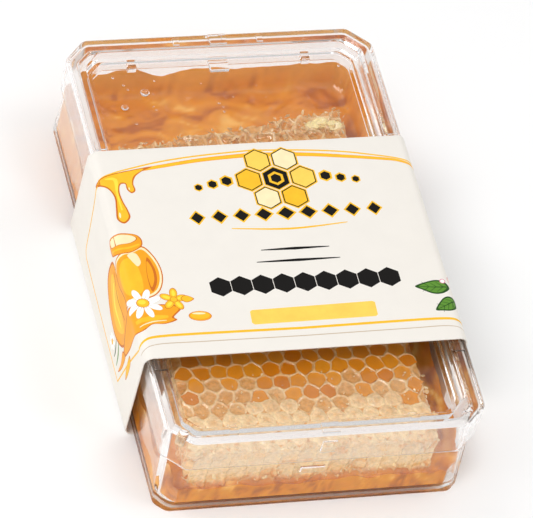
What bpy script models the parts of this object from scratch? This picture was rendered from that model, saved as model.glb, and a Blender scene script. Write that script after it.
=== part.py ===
"""A shut two-piece clear box of cut honeycomb with a paper sleeve round its middle.

The frame is the pack's own, in metres: +Z up, +Y along the box's length towards its back, +X to the right,
with the origin under the middle of the pack, on the surface that it stands on. The sleeve goes right round
the box, so the pack stands on the sleeve's underside.
"""

import math
import random

import bmesh
import bpy
from mathutils import Matrix, Vector

# --- driving dimensions, in metres ---------------------------------------------------------------------
LID_LENGTH = 0.146
LID_WIDTH = 0.092
BOX_HEIGHT = 0.0328
CORNER_CUT = 0.0065
GAP = 0.0003
SOFT = 0.0003

PAPER = 0.00045
SLEEVE_FRONT = -0.0435
SLEEVE_BACK = 0.0308
SLEEVE_SIDE_GAP = 0.0005
SLEEVE_TOP_GAP = 0.0004
SLEEVE_RADIUS = 0.0024
SLEEVE_CORNER_STEPS = 6
SLEEVE_CUT_SPARE = 0.005

# Lid: insets are measured inwards from its outline, heights up from the underside of the base.
FLANGE_LOW = 0.0266
SKIRT_LOW = 0.0204
SKIRT_INSET = 0.0004
SKIRT_WALL = 0.0008
WINDOW_INSET = 0.0075
WINDOW_HEIGHT = 0.0275
WINDOW_THICK = 0.0016
WINDOW_CORNER_CUT = 0.0036
RIM_INNER_INSET = 0.0052
RIM_CORNER_CUT = 0.0046
LEDGE_DROP = 0.0024
CHANNEL_ROOF = 0.0312
CHANNEL_INNER_INSET = 0.0035
TOP_EDGE = 0.0011
LEDGE_UNDER_LEAN = 0.0014
WINDOW_UNDER_LEAN = 0.0012

# Base
BASE_INSET = 0.00155
BASE_WALL = 0.0016
BASE_TOP = 0.0308
BASE_DRAFT = 0.0002
FOOT_CORNER_CUT = 0.0032
FLOOR_TOP = 0.0032
FOOT_HEIGHT = 0.0010
FOOT_WIDTH = 0.0024

# Small moulded lugs and tabs on the lid: half widths, how far they reach inwards, heights and how deep they sink
SINK = 0.0004
TAB_HALF = 0.0026
TAB_FAR = 0.0009
TAB_NEAR = 0.0006
TAB_DEPTH = 0.0012
TAB_RISE = 0.0006
PLATE_HALF = 0.0022
PLATE_PROUD = 0.0004
PLATE_LOW = 0.0252
PLATE_HIGH = 0.0302
LUG_SPREAD = 0.0260
LUG_HALF = 0.0013
LUG_REACH = 0.0012
LUG_RISE = 0.0018
TONGUE_HALF = 0.0029
TONGUE_REACH = 0.0026
TONGUE_RISE = 0.0009
RIB_SPREAD = 0.0125
RIB_HALF = 0.0010
RIB_FAR = 0.0040
RIB_NEAR = 0.0014
RIB_RISE = 0.0004
STOP_GAP = 0.0009
STOP_LENGTH = 0.0030
STOP_NEAR = 0.0014
STOP_FAR = 0.0050
STOP_RISE = 0.0005

# Contents
COMB_LEFT = -0.0365
COMB_RIGHT = 0.0335
COMB_FRONT = -0.0685
COMB_BACK_LEFT = 0.0385
COMB_BACK_RIGHT = 0.0492
COMB_HEIGHT = 0.0200
COMB_ROUGH = 0.0008
CELL_PITCH = 0.0050
CELL_DEPTH = 0.0013
CELL_DEPTH_SHARES = (0.2, 1.0)
CUT_ROUGHNESS = (0.2, 1.0, 1.5, 1.0)
HONEY_LEVEL = 0.0120
EDGE_STEP = 0.0048
CUTTER_LOW = -0.01
CUTTER_HIGH = 0.05
SLAB_SPARE = 0.002
SEED = 7

BASE_Z = PAPER + GAP
OFFSET_CUT = 2.0 - math.sqrt(2.0)


# --- helpers -------------------------------------------------------------------------------------------
def clear_scene():
    """Remove every object that the file opened with."""
    for old in list(bpy.data.objects):
        bpy.data.objects.remove(old, do_unlink=True)


def make_collection(name):
    """Return a new collection linked to the scene."""
    made = bpy.data.collections.new(name)
    bpy.context.scene.collection.children.link(made)
    return made


def material(name, colour, roughness, transmission=0.0, ior=1.5):
    """Return a Principled material of one colour."""
    made = bpy.data.materials.new(name)
    made.use_nodes = True
    shader = made.node_tree.nodes["Principled BSDF"]
    shader.inputs["Base Color"].default_value = (*colour, 1.0)
    shader.inputs["Roughness"].default_value = roughness
    shader.inputs["Metallic"].default_value = 0.0
    shader.inputs["Transmission Weight"].default_value = transmission
    shader.inputs["IOR"].default_value = ior
    return made


def object_from(mesh, name, collection, finish=None):
    """Turn a bmesh into a named object and free it."""
    bmesh.ops.recalc_face_normals(mesh, faces=mesh.faces)
    data = bpy.data.meshes.new(name)
    mesh.to_mesh(data)
    mesh.free()
    if finish:
        data.materials.append(finish)
    made = bpy.data.objects.new(name, data)
    collection.objects.link(made)
    return made


def eight_sided(inset, height, cut=None):
    """Corners of the box's outline moved inwards by inset, at a height above the base's underside."""
    x, y = LID_WIDTH / 2 - inset, LID_LENGTH / 2 - inset
    if cut is None:
        cut = CORNER_CUT - OFFSET_CUT * inset
    z = BASE_Z + height
    flat = [(x - cut, -y), (x, cut - y), (x, y - cut), (x - cut, y)]
    flat += [(cut - x, y), (-x, y - cut), (-x, cut - y), (cut - x, -y)]
    return [Vector((px, py, z)) for px, py in flat]


def body_through(rings):
    """Closed bmesh that runs from its first ring to its last, with both of them capped."""
    mesh = bmesh.new()
    first = cap = mesh.faces.new([mesh.verts.new(point) for point in rings[0]])
    for ring in rings[1:]:
        grown = bmesh.ops.extrude_face_region(mesh, geom=[cap])["geom"]
        if cap is not first:
            bmesh.ops.delete(mesh, geom=[cap], context="FACES_ONLY")
        cap = next(item for item in grown if isinstance(item, bmesh.types.BMFace))
        for vert, point in zip(list(cap.verts), ring):
            vert.co = point
    return mesh


def block(name, low, high, collection):
    """Hidden box between two corners, for a Boolean."""
    mesh = bmesh.new()
    size = [b - a for a, b in zip(low, high)]
    middle = [(a + b) / 2 for a, b in zip(low, high)]
    bmesh.ops.create_cube(mesh, size=1.0)
    bmesh.ops.scale(mesh, vec=size, verts=mesh.verts)
    bmesh.ops.translate(mesh, vec=middle, verts=mesh.verts)
    return hide(object_from(mesh, name, collection))


def hide(guide):
    """Keep a helper out of the model."""
    guide.hide_render = True
    guide.display_type = "WIRE"
    return guide


def boolean(target, operation, other):
    """Join another closed mesh to target, or cut target with it."""
    step = target.modifiers.new(f"{operation.lower()}_{other.name}", "BOOLEAN")
    step.operation = operation
    step.object = other


def prism(name, outline, low, high, collection):
    """Hidden upright prism over a flat outline."""
    mesh = bmesh.new()
    cap = mesh.faces.new([mesh.verts.new((x, y, low)) for x, y in outline])
    grown = bmesh.ops.extrude_face_region(mesh, geom=[cap])["geom"]
    tops = [item for item in grown if isinstance(item, bmesh.types.BMVert)]
    bmesh.ops.translate(mesh, vec=(0, 0, high - low), verts=tops)
    return hide(object_from(mesh, name, collection))


# --- the clear box -------------------------------------------------------------------------------------
def build_base(parts):
    """Tray with upright walls, cut corners, a solid floor and a low foot round its underside."""
    inner_top = BASE_INSET + BASE_WALL
    inner_low = inner_top + BASE_DRAFT
    outer_low = BASE_INSET + BASE_DRAFT
    inner_cut = FOOT_CORNER_CUT - OFFSET_CUT * BASE_WALL
    foot_inner = outer_low + SOFT + FOOT_WIDTH
    rings = [
        eight_sided(inner_low + SOFT, FLOOR_TOP, inner_cut),
        eight_sided(inner_low, FLOOR_TOP + SOFT, inner_cut),
        eight_sided(inner_top, BASE_TOP - SOFT),
        eight_sided(inner_top - SOFT, BASE_TOP),
        eight_sided(BASE_INSET + SOFT, BASE_TOP),
        eight_sided(BASE_INSET, BASE_TOP - SOFT),
        eight_sided(BASE_INSET, SKIRT_LOW - 4 * SOFT),
        eight_sided(outer_low, FOOT_HEIGHT, FOOT_CORNER_CUT),
        eight_sided(outer_low + SOFT, 0.0, FOOT_CORNER_CUT),
        eight_sided(foot_inner, 0.0, inner_cut),
        eight_sided(foot_inner + SOFT, FOOT_HEIGHT, inner_cut),
    ]
    finish = material("clear_base", (0.96, 0.95, 0.94), 0.04, transmission=1.0, ior=1.49)
    return object_from(body_through(rings), "box_base", parts, finish)


def lid_rings():
    """Rings of the lid from its recessed window, over the rim and skirt, to the window's underside."""
    inner = SKIRT_INSET + SKIRT_WALL
    rim_cut, window_cut = RIM_CORNER_CUT, WINDOW_CORNER_CUT
    ledge = BOX_HEIGHT - LEDGE_DROP
    return [
        eight_sided(WINDOW_INSET, WINDOW_HEIGHT, window_cut),
        eight_sided(WINDOW_INSET - SOFT, ledge - SOFT, window_cut),
        eight_sided(WINDOW_INSET - 2 * SOFT, ledge, window_cut),
        eight_sided(RIM_INNER_INSET + 2 * SOFT, ledge, rim_cut),
        eight_sided(RIM_INNER_INSET + SOFT, BOX_HEIGHT - SOFT, rim_cut),
        eight_sided(RIM_INNER_INSET, BOX_HEIGHT, rim_cut),
        eight_sided(TOP_EDGE, BOX_HEIGHT),
        eight_sided(SOFT, BOX_HEIGHT - SOFT),
        eight_sided(0.0, BOX_HEIGHT - TOP_EDGE),
        eight_sided(0.0, FLANGE_LOW + SOFT),
        eight_sided(SKIRT_INSET, FLANGE_LOW),
        eight_sided(SKIRT_INSET, SKIRT_LOW + SOFT),
        eight_sided(SKIRT_INSET + SOFT, SKIRT_LOW),
        eight_sided(inner, SKIRT_LOW),
        eight_sided(inner, CHANNEL_ROOF),
        eight_sided(CHANNEL_INNER_INSET, CHANNEL_ROOF),
        eight_sided(CHANNEL_INNER_INSET + SOFT, ledge - WINDOW_THICK),
        eight_sided(WINDOW_INSET - LEDGE_UNDER_LEAN, ledge - WINDOW_THICK, window_cut),
        eight_sided(WINDOW_INSET - WINDOW_UNDER_LEAN, WINDOW_HEIGHT - WINDOW_THICK, window_cut),
    ]


def lid_extras(guides):
    """Blocks moulded onto the lid: end tabs, window lugs, rim ribs and the stops beside the sleeve."""
    half_x, half_y = LID_WIDTH / 2, LID_LENGTH / 2
    top = BASE_Z + BOX_HEIGHT
    window = BASE_Z + WINDOW_HEIGHT
    made = []
    for end in (-1, 1):
        reach = sorted((end * (half_y - RIM_INNER_INSET + TAB_FAR), end * (half_y - TAB_NEAR)))
        tab = ((-TAB_HALF, reach[0], top - TAB_DEPTH), (TAB_HALF, reach[1], top + TAB_RISE))
        made.append(block(f"tab_{end}", *tab, guides))
        reach = sorted((end * (half_y + PLATE_PROUD), end * (half_y - SINK)))
        plate = ((-PLATE_HALF, reach[0], BASE_Z + PLATE_LOW), (PLATE_HALF, reach[1], BASE_Z + PLATE_HIGH))
        made.append(block(f"plate_{end}", *plate, guides))
        reach = sorted((end * (half_y - WINDOW_INSET - LUG_REACH), end * (half_y - RIM_INNER_INSET - SINK)))
        for side in (-1, 1):
            x = side * LUG_SPREAD
            lug = ((x - LUG_HALF, reach[0], window - SINK), (x + LUG_HALF, reach[1], window + LUG_RISE))
            made.append(block(f"lug_{end}_{side}", *lug, guides))
    near, far = half_y - WINDOW_INSET - TONGUE_REACH, half_y - RIM_INNER_INSET - SINK
    tongue = ((-TONGUE_HALF, near, window - SINK), (TONGUE_HALF, far, window + TONGUE_RISE))
    made.append(block("hinge_tongue", *tongue, guides))
    for side in (-1, 1):
        x = side * RIB_SPREAD
        rib = ((x - RIB_HALF, half_y - RIB_FAR, top - SINK), (x + RIB_HALF, half_y - RIB_NEAR, top + RIB_RISE))
        made.append(block(f"rib_{side}", *rib, guides))
        for end, edge in ((-1, SLEEVE_FRONT - STOP_GAP), (1, SLEEVE_BACK + STOP_GAP)):
            span = sorted((edge, edge + end * STOP_LENGTH))
            across = sorted((side * (half_x - STOP_NEAR), side * (half_x - STOP_FAR)))
            stop = ((across[0], span[0], top - SINK), (across[1], span[1], top + STOP_RISE))
            made.append(block(f"stop_{end}_{side}", *stop, guides))
    return made


def build_lid(parts, guides):
    """Lid with a recessed window in a stepped rim, a flange, a skirt over the base and small moulded lugs."""
    finish = material("clear_lid", (0.97, 0.96, 0.95), 0.03, transmission=1.0, ior=1.49)
    lid = object_from(body_through(lid_rings()), "box_lid", parts, finish)
    for extra in lid_extras(guides):
        boolean(lid, "UNION", extra)
    return lid


# --- the paper sleeve ----------------------------------------------------------------------------------
def rounded_section(half_width, low, high, radius, steps):
    """Corner points, in X and Z, of an upright rectangle with rounded corners."""
    points = []
    centres = [(1, high - radius, 0), (-1, high - radius, 90), (-1, low + radius, 180), (1, low + radius, 270)]
    for side, z, start in centres:
        for step in range(steps + 1):
            angle = math.radians(start + 90 * step / steps)
            x = side * (half_width - radius) + radius * math.cos(angle)
            points.append((x, z + radius * math.sin(angle)))
    return points


def build_sleeve(parts, guides):
    """Closed band of card round the box, open at both ends, with its long edges softly rounded."""
    inner_x = LID_WIDTH / 2 + SLEEVE_SIDE_GAP
    inner_top = BASE_Z + BOX_HEIGHT + SLEEVE_TOP_GAP
    sizes = {
        "paper_sleeve": (inner_x + PAPER, 0.0, inner_top + PAPER, SLEEVE_RADIUS + PAPER, 0.0),
        "sleeve_inside": (inner_x, PAPER, inner_top, SLEEVE_RADIUS, SLEEVE_CUT_SPARE),
    }
    made = []
    for name, (half_width, low, high, radius, spare) in sizes.items():
        mesh = bmesh.new()
        section = rounded_section(half_width, low, high, radius, SLEEVE_CORNER_STEPS)
        cap = mesh.faces.new([mesh.verts.new((x, SLEEVE_FRONT - spare, z)) for x, z in section])
        grown = bmesh.ops.extrude_face_region(mesh, geom=[cap])["geom"]
        backs = [item for item in grown if isinstance(item, bmesh.types.BMVert)]
        length = SLEEVE_BACK - SLEEVE_FRONT + 2 * spare
        bmesh.ops.translate(mesh, vec=(0, length, 0), verts=backs)
        made.append(object_from(mesh, name, parts if name == "paper_sleeve" else guides))
    sleeve, inside = made
    sleeve.data.materials.append(material("sleeve_paper", (0.93, 0.91, 0.86), 0.6))
    boolean(sleeve, "DIFFERENCE", hide(inside))
    return sleeve


# --- the contents --------------------------------------------------------------------------------------
def comb_outline(grow, chance):
    """Uneven four-sided outline of the cut comb, moved outwards by grow."""
    corners = [
        (COMB_LEFT, COMB_FRONT),
        (COMB_RIGHT, COMB_FRONT),
        (COMB_RIGHT, COMB_BACK_RIGHT),
        (COMB_LEFT, COMB_BACK_LEFT),
    ]
    points = []
    for (start, end), rough in zip(zip(corners, corners[1:] + corners[:1]), CUT_ROUGHNESS):
        start, end = Vector(start), Vector(end)
        along = end - start
        out = Vector((along.y, -along.x)).normalized()
        steps = round(along.length / EDGE_STEP)
        for step in range(steps):
            shift = chance.uniform(-1, 1) * rough * COMB_ROUGH if step else 0.0
            points.append(start + along * step / steps + out * shift)
    middle = Vector(((COMB_LEFT + COMB_RIGHT) / 2, (COMB_FRONT + COMB_BACK_RIGHT) / 2))
    return [grown_point(points, place, middle, grow) for place in range(len(points))]


def grown_point(points, place, middle, grow):
    """One outline point moved away from the outline along the mean of its two edges' normals."""
    before, here, after = points[place - 1], points[place], points[(place + 1) % len(points)]
    first, second = (here - before).normalized(), (after - here).normalized()
    out = (Vector((first.y, -first.x)) + Vector((second.y, -second.x))).normalized()
    lean = max(0.5, out.dot(Vector((second.y, -second.x))))
    return here + out * (grow / lean)


def comb_slab():
    """Slab larger than the comb, with a hexagonal cell pressed into its top for every cell of the comb."""
    chance = random.Random(SEED)
    low = BASE_Z + FLOOR_TOP + GAP
    mesh = bmesh.new()
    radius = CELL_PITCH / math.sqrt(3.0)
    row_step = radius * 1.5
    rows = math.ceil((COMB_BACK_RIGHT - COMB_FRONT) / row_step) + 3
    columns = math.ceil((COMB_RIGHT - COMB_LEFT) / CELL_PITCH) + 3
    for row in range(rows):
        for column in range(columns):
            x = COMB_LEFT + (column - 1 + 0.5 * (row % 2)) * CELL_PITCH
            y = COMB_FRONT + (row - 1) * row_step
            place = Matrix.Translation((x, y, low + COMB_HEIGHT))
            bmesh.ops.create_circle(mesh, cap_ends=True, segments=6, radius=radius, matrix=place)
    bmesh.ops.remove_doubles(mesh, verts=mesh.verts, dist=radius / 20)
    for vert in mesh.verts:
        vert.co.z += chance.uniform(-0.5, 0.5) * COMB_ROUGH
    centres = bmesh.ops.poke(mesh, faces=mesh.faces)["verts"]
    for vert in centres:
        vert.co.z -= CELL_DEPTH * chance.uniform(*CELL_DEPTH_SHARES)
    rim = [edge for edge in mesh.edges if edge.is_boundary]
    dropped = bmesh.ops.extrude_edge_only(mesh, edges=rim)["geom"]
    for item in dropped:
        if isinstance(item, bmesh.types.BMVert):
            item.co.z = low - SLAB_SPARE
    floor = [edge for edge in mesh.edges if edge.is_boundary]
    bmesh.ops.contextual_create(mesh, geom=floor)
    return mesh


def build_contents(parts, guides):
    """Cut comb standing in the tray, and the honey that has run out round its foot."""
    low = BASE_Z + FLOOR_TOP + GAP
    wax = material("wax", (0.86, 0.62, 0.30), 0.35)
    honey = material("honey", (0.75, 0.36, 0.05), 0.08)
    comb = object_from(comb_slab(), "honeycomb_block", parts, wax)
    shape = prism("comb_shape", comb_outline(0.0, random.Random(SEED)), low, CUTTER_HIGH, guides)
    boolean(comb, "INTERSECT", shape)

    wall = BASE_INSET + BASE_WALL + BASE_DRAFT + GAP
    rings = [
        eight_sided(wall + GAP, FLOOR_TOP + GAP),
        eight_sided(wall, HONEY_LEVEL),
    ]
    pool = object_from(body_through(rings), "honey_pool", parts, honey)
    room = prism("comb_room", comb_outline(GAP, random.Random(SEED)), CUTTER_LOW, CUTTER_HIGH, guides)
    boolean(pool, "DIFFERENCE", room)
    return comb, pool


def main():
    """Build the whole pack."""
    clear_scene()
    parts = make_collection("honeycomb_pack")
    guides = make_collection("guides")
    build_base(parts)
    build_lid(parts, guides)
    build_sleeve(parts, guides)
    build_contents(parts, guides)


main()
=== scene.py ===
"""The looks of a shut clear box of cut honeycomb with a printed paper sleeve round its middle.

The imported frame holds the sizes, and every piece is placed from the boxes of its nodes. Lengths are in
metres, with +X to the right, +Y along the box towards its back and +Z up from the surface that the pack
stands on.
"""

import logging
import math
import random
from dataclasses import dataclass, field
from enum import Enum
from typing import Any, Callable, Iterable, Sequence

import bmesh
import bpy
from mathutils import Euler, Matrix, Vector, noise


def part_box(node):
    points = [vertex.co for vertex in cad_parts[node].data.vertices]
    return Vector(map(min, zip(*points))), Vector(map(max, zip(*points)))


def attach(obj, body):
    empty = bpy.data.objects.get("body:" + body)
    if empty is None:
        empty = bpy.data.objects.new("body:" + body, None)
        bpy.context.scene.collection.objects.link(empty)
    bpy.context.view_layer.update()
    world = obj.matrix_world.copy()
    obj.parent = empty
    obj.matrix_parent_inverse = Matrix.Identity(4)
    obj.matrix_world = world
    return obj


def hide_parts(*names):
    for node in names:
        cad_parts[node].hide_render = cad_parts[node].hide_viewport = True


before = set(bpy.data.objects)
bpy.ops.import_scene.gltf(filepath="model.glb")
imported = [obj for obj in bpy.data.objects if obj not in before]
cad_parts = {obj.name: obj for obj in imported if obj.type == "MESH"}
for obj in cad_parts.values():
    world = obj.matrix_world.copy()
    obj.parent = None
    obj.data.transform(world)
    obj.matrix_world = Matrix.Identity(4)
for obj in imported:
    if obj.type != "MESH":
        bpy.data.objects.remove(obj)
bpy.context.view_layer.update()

MM = 0.001
BODY = "root"
SQRT3 = math.sqrt(3.0)
OFFSET_CUT = 2.0 - math.sqrt(2.0)
TINT = "tint"

Colour = tuple[float, float, float]
log = logging.getLogger("honeycomb_pack")


class Slot(Enum):
    """The record's finish slots."""

    BASE = "clear_base"
    LID = "clear_lid"
    PAPER = "sleeve_paper"
    WAX = "wax"
    HONEY = "honey"


# --- small helpers ---------------------------------------------------------------------------------------
def srgb(red: int, green: int, blue: int) -> Colour:
    """Linear colour of an sRGB colour given from 0 to 255.

    Args:
        red: Red level.
        green: Green level.
        blue: Blue level.

    Returns:
        The linear colour.
    """

    def linear(level: float) -> float:
        """One channel from sRGB to linear."""
        return level / 12.92 if level <= 0.04045 else ((level + 0.055) / 1.055) ** 2.4

    return linear(red / 255), linear(green / 255), linear(blue / 255)


def mixed(first: Sequence[float], second: Sequence[float], share: float) -> Colour:
    """Colour between two others; share 0 gives the first.

    Args:
        first: Colour at share 0.
        second: Colour at share 1.
        share: How far to go; held between 0 and 1.

    Returns:
        The colour between them.
    """
    share = min(1.0, max(0.0, share))
    red, green, blue = (a + (b - a) * share for a, b in zip(first, second))
    return red, green, blue


def eased(value: float, low: float, high: float) -> float:
    """Smooth step from 0 at low to 1 at high."""
    share = min(1.0, max(0.0, (value - low) / (high - low)))
    return share * share * (3.0 - 2.0 * share)


def ripple(place: Vector, wave: float, layer: float = 0.0) -> float:
    """Smooth noise of about -1 to 1.

    Args:
        place: Point to read, in metres.
        wave: Distance between lumps of the pattern, in metres.
        layer: Picks an unlike pattern.

    Returns:
        The noise at that point.
    """
    return noise.noise(place / wave + Vector((layer, 1.7 * layer, -layer)))


def softened(points: Sequence[Vector], rounds: Sequence[float], steps: int, closed: bool) -> list[Vector]:
    """Replace the corners of a line of points with short arcs.

    Args:
        points: Corners of the line.
        rounds: How far each corner's arc starts from it, in metres.
        steps: Segments in each arc.
        closed: Whether the last point joins the first.

    Returns:
        The points of the line with its corners rounded.
    """
    made: list[Vector] = []
    count = len(points)
    for place, (corner, reach) in enumerate(zip(points, rounds)):
        if not closed and place in (0, count - 1):
            made.append(corner.copy())
            continue
        before, after = points[place - 1] - corner, points[(place + 1) % count] - corner
        back = before * min(0.48, reach / before.length)
        ahead = after * min(0.48, reach / after.length)
        for step in range(steps + 1):
            share = step / steps
            made.append(corner + back * (1 - share) ** 2 + ahead * share**2)
    return made


def body_through(rings: Sequence[Sequence[Vector]]) -> bmesh.types.BMesh:
    """Closed mesh that runs through rings of equally many points.

    Args:
        rings: Rings in order; the first and the last are capped.

    Returns:
        The mesh, with its faces pointing out.
    """
    mesh = bmesh.new()
    first = cap = mesh.faces.new([mesh.verts.new(point) for point in rings[0]])
    for ring in rings[1:]:
        grown = bmesh.ops.extrude_face_region(mesh, geom=[cap])["geom"]
        if cap is not first:
            bmesh.ops.delete(mesh, geom=[cap], context="FACES_ONLY")
        cap = next(item for item in grown if isinstance(item, bmesh.types.BMFace))
        for vert, point in zip(list(cap.verts), ring):
            vert.co = point
    bmesh.ops.recalc_face_normals(mesh, faces=mesh.faces)
    return mesh


def object_from(mesh: bmesh.types.BMesh, name: str, smooth_below: float = 180.0) -> bpy.types.Object:
    """Turn a bmesh into a linked object and free it.

    Args:
        mesh: The finished bmesh.
        name: The piece's name.
        smooth_below: Edges turned by more than this many degrees stay sharp.

    Returns:
        The object, at the origin.
    """
    data = bpy.data.meshes.new(name)
    mesh.to_mesh(data)
    mesh.free()
    data.shade_smooth()
    if smooth_below < 180.0:
        data.set_sharp_from_angle(angle=math.radians(smooth_below))
    made = bpy.data.objects.new(name, data)
    bpy.context.scene.collection.objects.link(made)
    return made


def applied(piece: bpy.types.Object) -> bpy.types.Object:
    """Replace a piece's mesh with what its modifiers make of it.

    Args:
        piece: Object with modifiers.

    Returns:
        The same object, with no modifiers left.
    """
    graph = bpy.context.evaluated_depsgraph_get()
    made = bpy.data.meshes.new_from_object(piece.evaluated_get(graph))
    piece.modifiers.clear()
    piece.data = made
    return piece


def settle(piece: bpy.types.Object, finish: bpy.types.Material, slot: Slot, *nodes: str) -> bpy.types.Object:
    """Dress a piece, ride it on the pack and report it.

    Args:
        piece: The finished object.
        finish: Its material.
        slot: The record's slot for its finish; not used.
        nodes: CAD nodes that it stands for.

    Returns:
        The piece.
    """
    piece.data.materials.clear()
    piece.data.materials.append(finish)
    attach(piece, BODY)
    if nodes:
        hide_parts(*nodes)
    log.info("%s: %d faces", piece.name, len(piece.data.polygons))
    return piece


def paint(piece: bpy.types.Object, tint_at: Callable[[int, Vector], Colour]) -> None:
    """Write a colour for each vertex into the tint attribute.

    Args:
        piece: Mesh object to paint.
        tint_at: Gives the colour for a vertex's index and place.
    """
    data = piece.data
    layer = data.attributes.get(TINT) or data.attributes.new(TINT, "FLOAT_COLOR", "POINT")
    colours: list[float] = []
    for vert in data.vertices:
        colours.extend((*tint_at(vert.index, vert.co), 1.0))
    layer.data.foreach_set("color", colours)


# --- node tools ------------------------------------------------------------------------------------------
class NodeBench:
    """Adds and joins the nodes of one tree."""

    def __init__(self, tree: bpy.types.NodeTree) -> None:
        """Work on a tree."""
        self.tree = tree

    def node(self, kind: str, inputs: dict[str, Any] | None = None, **settings: Any) -> bpy.types.Node:
        """Add a node.

        Args:
            kind: The node's type name.
            inputs: Values or sockets for its inputs, by name.
            **settings: Properties of the node.

        Returns:
            The new node.
        """
        made = self.tree.nodes.new(kind)
        for name, value in settings.items():
            setattr(made, name, value)
        for name, value in (inputs or {}).items():
            self.feed(made.inputs[name], value)
        return made

    def feed(self, socket: bpy.types.NodeSocket, value: Any) -> None:
        """Link a socket to an input, or set the input's own value.

        Args:
            socket: The input.
            value: A socket to link, or a value.
        """
        if isinstance(value, bpy.types.NodeSocket):
            self.tree.links.new(value, socket)
        elif socket.type == "RGBA" and len(value) == 3:
            socket.default_value = (*value, 1.0)
        else:
            socket.default_value = value

    def span(self, value: Any, low: float, high: float, to_low: Any, to_high: Any) -> bpy.types.NodeSocket:
        """Map a value from one range to another and return the result's socket."""
        named = {"Value": value, "From Min": low, "From Max": high, "To Min": to_low, "To Max": to_high}
        return self.node("ShaderNodeMapRange", named).outputs[0]

    def math(self, operation: str, first: Any, second: Any) -> bpy.types.NodeSocket:
        """Join two values with an operation and return the result's socket.

        Args:
            operation: Name of the operation.
            first: First value or socket.
            second: Second value or socket.

        Returns:
            The result.
        """
        made = self.node("ShaderNodeMath", operation=operation)
        self.feed(made.inputs[0], first)
        self.feed(made.inputs[1], second)
        return made.outputs[0]

    def grouped(self, group: bpy.types.NodeTree, values: dict[str, Any]) -> bpy.types.NodeSocket:
        """Use a node group on some values and return its output's socket."""
        return self.node("ShaderNodeGroup", values, node_tree=group).outputs[0]


def shared_group(
    name: str, inputs: dict[str, tuple[str, Any]], output: tuple[str, str]
) -> tuple[Any, Any, Any, Any]:
    """Start a shader node group with named sockets.

    Args:
        name: The group's name.
        inputs: Socket type and default value of each input, by name.
        output: Name and socket type of the output.

    Returns:
        The group, a bench for it, its input node and its output node's socket.
    """
    group = bpy.data.node_groups.new(name, "ShaderNodeTree")
    for title, (kind, value) in inputs.items():
        socket = group.interface.new_socket(name=title, in_out="INPUT", socket_type=kind)
        socket.default_value = value
    group.interface.new_socket(name=output[0], in_out="OUTPUT", socket_type=output[1])
    bench = NodeBench(group)
    start = group.nodes.new("NodeGroupInput")
    end = group.nodes.new("NodeGroupOutput")
    return group, bench, start, end.inputs[0]


class SharedEffects:
    """The node groups that several finishes use: a drift of colour, an uneven gloss and a faint relief."""

    def __init__(self) -> None:
        """Build the groups."""
        self.drift = self._build_drift()
        self.gloss = self._build_gloss()
        self.relief = self._build_relief()

    @staticmethod
    def _wave(bench: NodeBench, wave: Any, detail: float) -> bpy.types.NodeSocket:
        """Noise on object coordinates whose scale is one over a group's wave input.

        Args:
            bench: The group's bench.
            wave: Distance between lumps, in metres.
            detail: Octaves of noise.

        Returns:
            The noise, from 0 to 1.
        """
        place = bench.node("ShaderNodeTexCoord").outputs["Object"]
        named = {"Vector": place, "Scale": bench.math("DIVIDE", 1.0, wave), "Detail": detail}
        return bench.node("ShaderNodeTexNoise", named).outputs[0]

    def _build_drift(self) -> bpy.types.NodeTree:
        """Group that makes a colour drift lighter and darker over the surface.

        Returns:
            The group.
        """
        sockets = {
            "Colour": ("NodeSocketColor", (0.8, 0.8, 0.8, 1.0)),
            "Wave": ("NodeSocketFloat", 0.004),
            "Amount": ("NodeSocketFloat", 0.1),
        }
        group, bench, start, end = shared_group("colour_drift", sockets, ("Colour", "NodeSocketColor"))
        lump = self._wave(bench, start.outputs["Wave"], 3.0)
        centred = bench.span(lump, 0.3, 0.7, -1.0, 1.0)
        swing = bench.node("ShaderNodeMath", operation="MULTIPLY_ADD")
        bench.feed(swing.inputs[0], centred)
        bench.feed(swing.inputs[1], start.outputs["Amount"])
        swing.inputs[2].default_value = 1.0
        scaled = bench.node("ShaderNodeVectorMath", operation="SCALE")
        bench.feed(scaled.inputs[0], start.outputs["Colour"])
        bench.feed(scaled.inputs["Scale"], swing.outputs[0])
        bench.feed(end, scaled.outputs[0])
        return group

    def _build_gloss(self) -> bpy.types.NodeTree:
        """Group that gives a roughness between two levels, in soft patches.

        Returns:
            The group.
        """
        sockets = {
            "Wave": ("NodeSocketFloat", 0.003),
            "Low": ("NodeSocketFloat", 0.2),
            "High": ("NodeSocketFloat", 0.4),
        }
        group, bench, start, end = shared_group("uneven_gloss", sockets, ("Roughness", "NodeSocketFloat"))
        lump = self._wave(bench, start.outputs["Wave"], 2.0)
        bench.feed(end, bench.span(lump, 0.35, 0.65, start.outputs["Low"], start.outputs["High"]))
        return group

    def _build_relief(self) -> bpy.types.NodeTree:
        """Group that gives a normal with a faint relief.

        Returns:
            The group.
        """
        sockets = {
            "Wave": ("NodeSocketFloat", 0.001),
            "Depth": ("NodeSocketFloat", 0.0001),
        }
        group, bench, start, end = shared_group("faint_relief", sockets, ("Normal", "NodeSocketVector"))
        lump = self._wave(bench, start.outputs["Wave"], 3.0)
        bump = bench.node("ShaderNodeBump", {"Height": lump, "Distance": start.outputs["Depth"]})
        bump.inputs["Strength"].default_value = 1.0
        bench.feed(end, bump.outputs[0])
        return group


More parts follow.
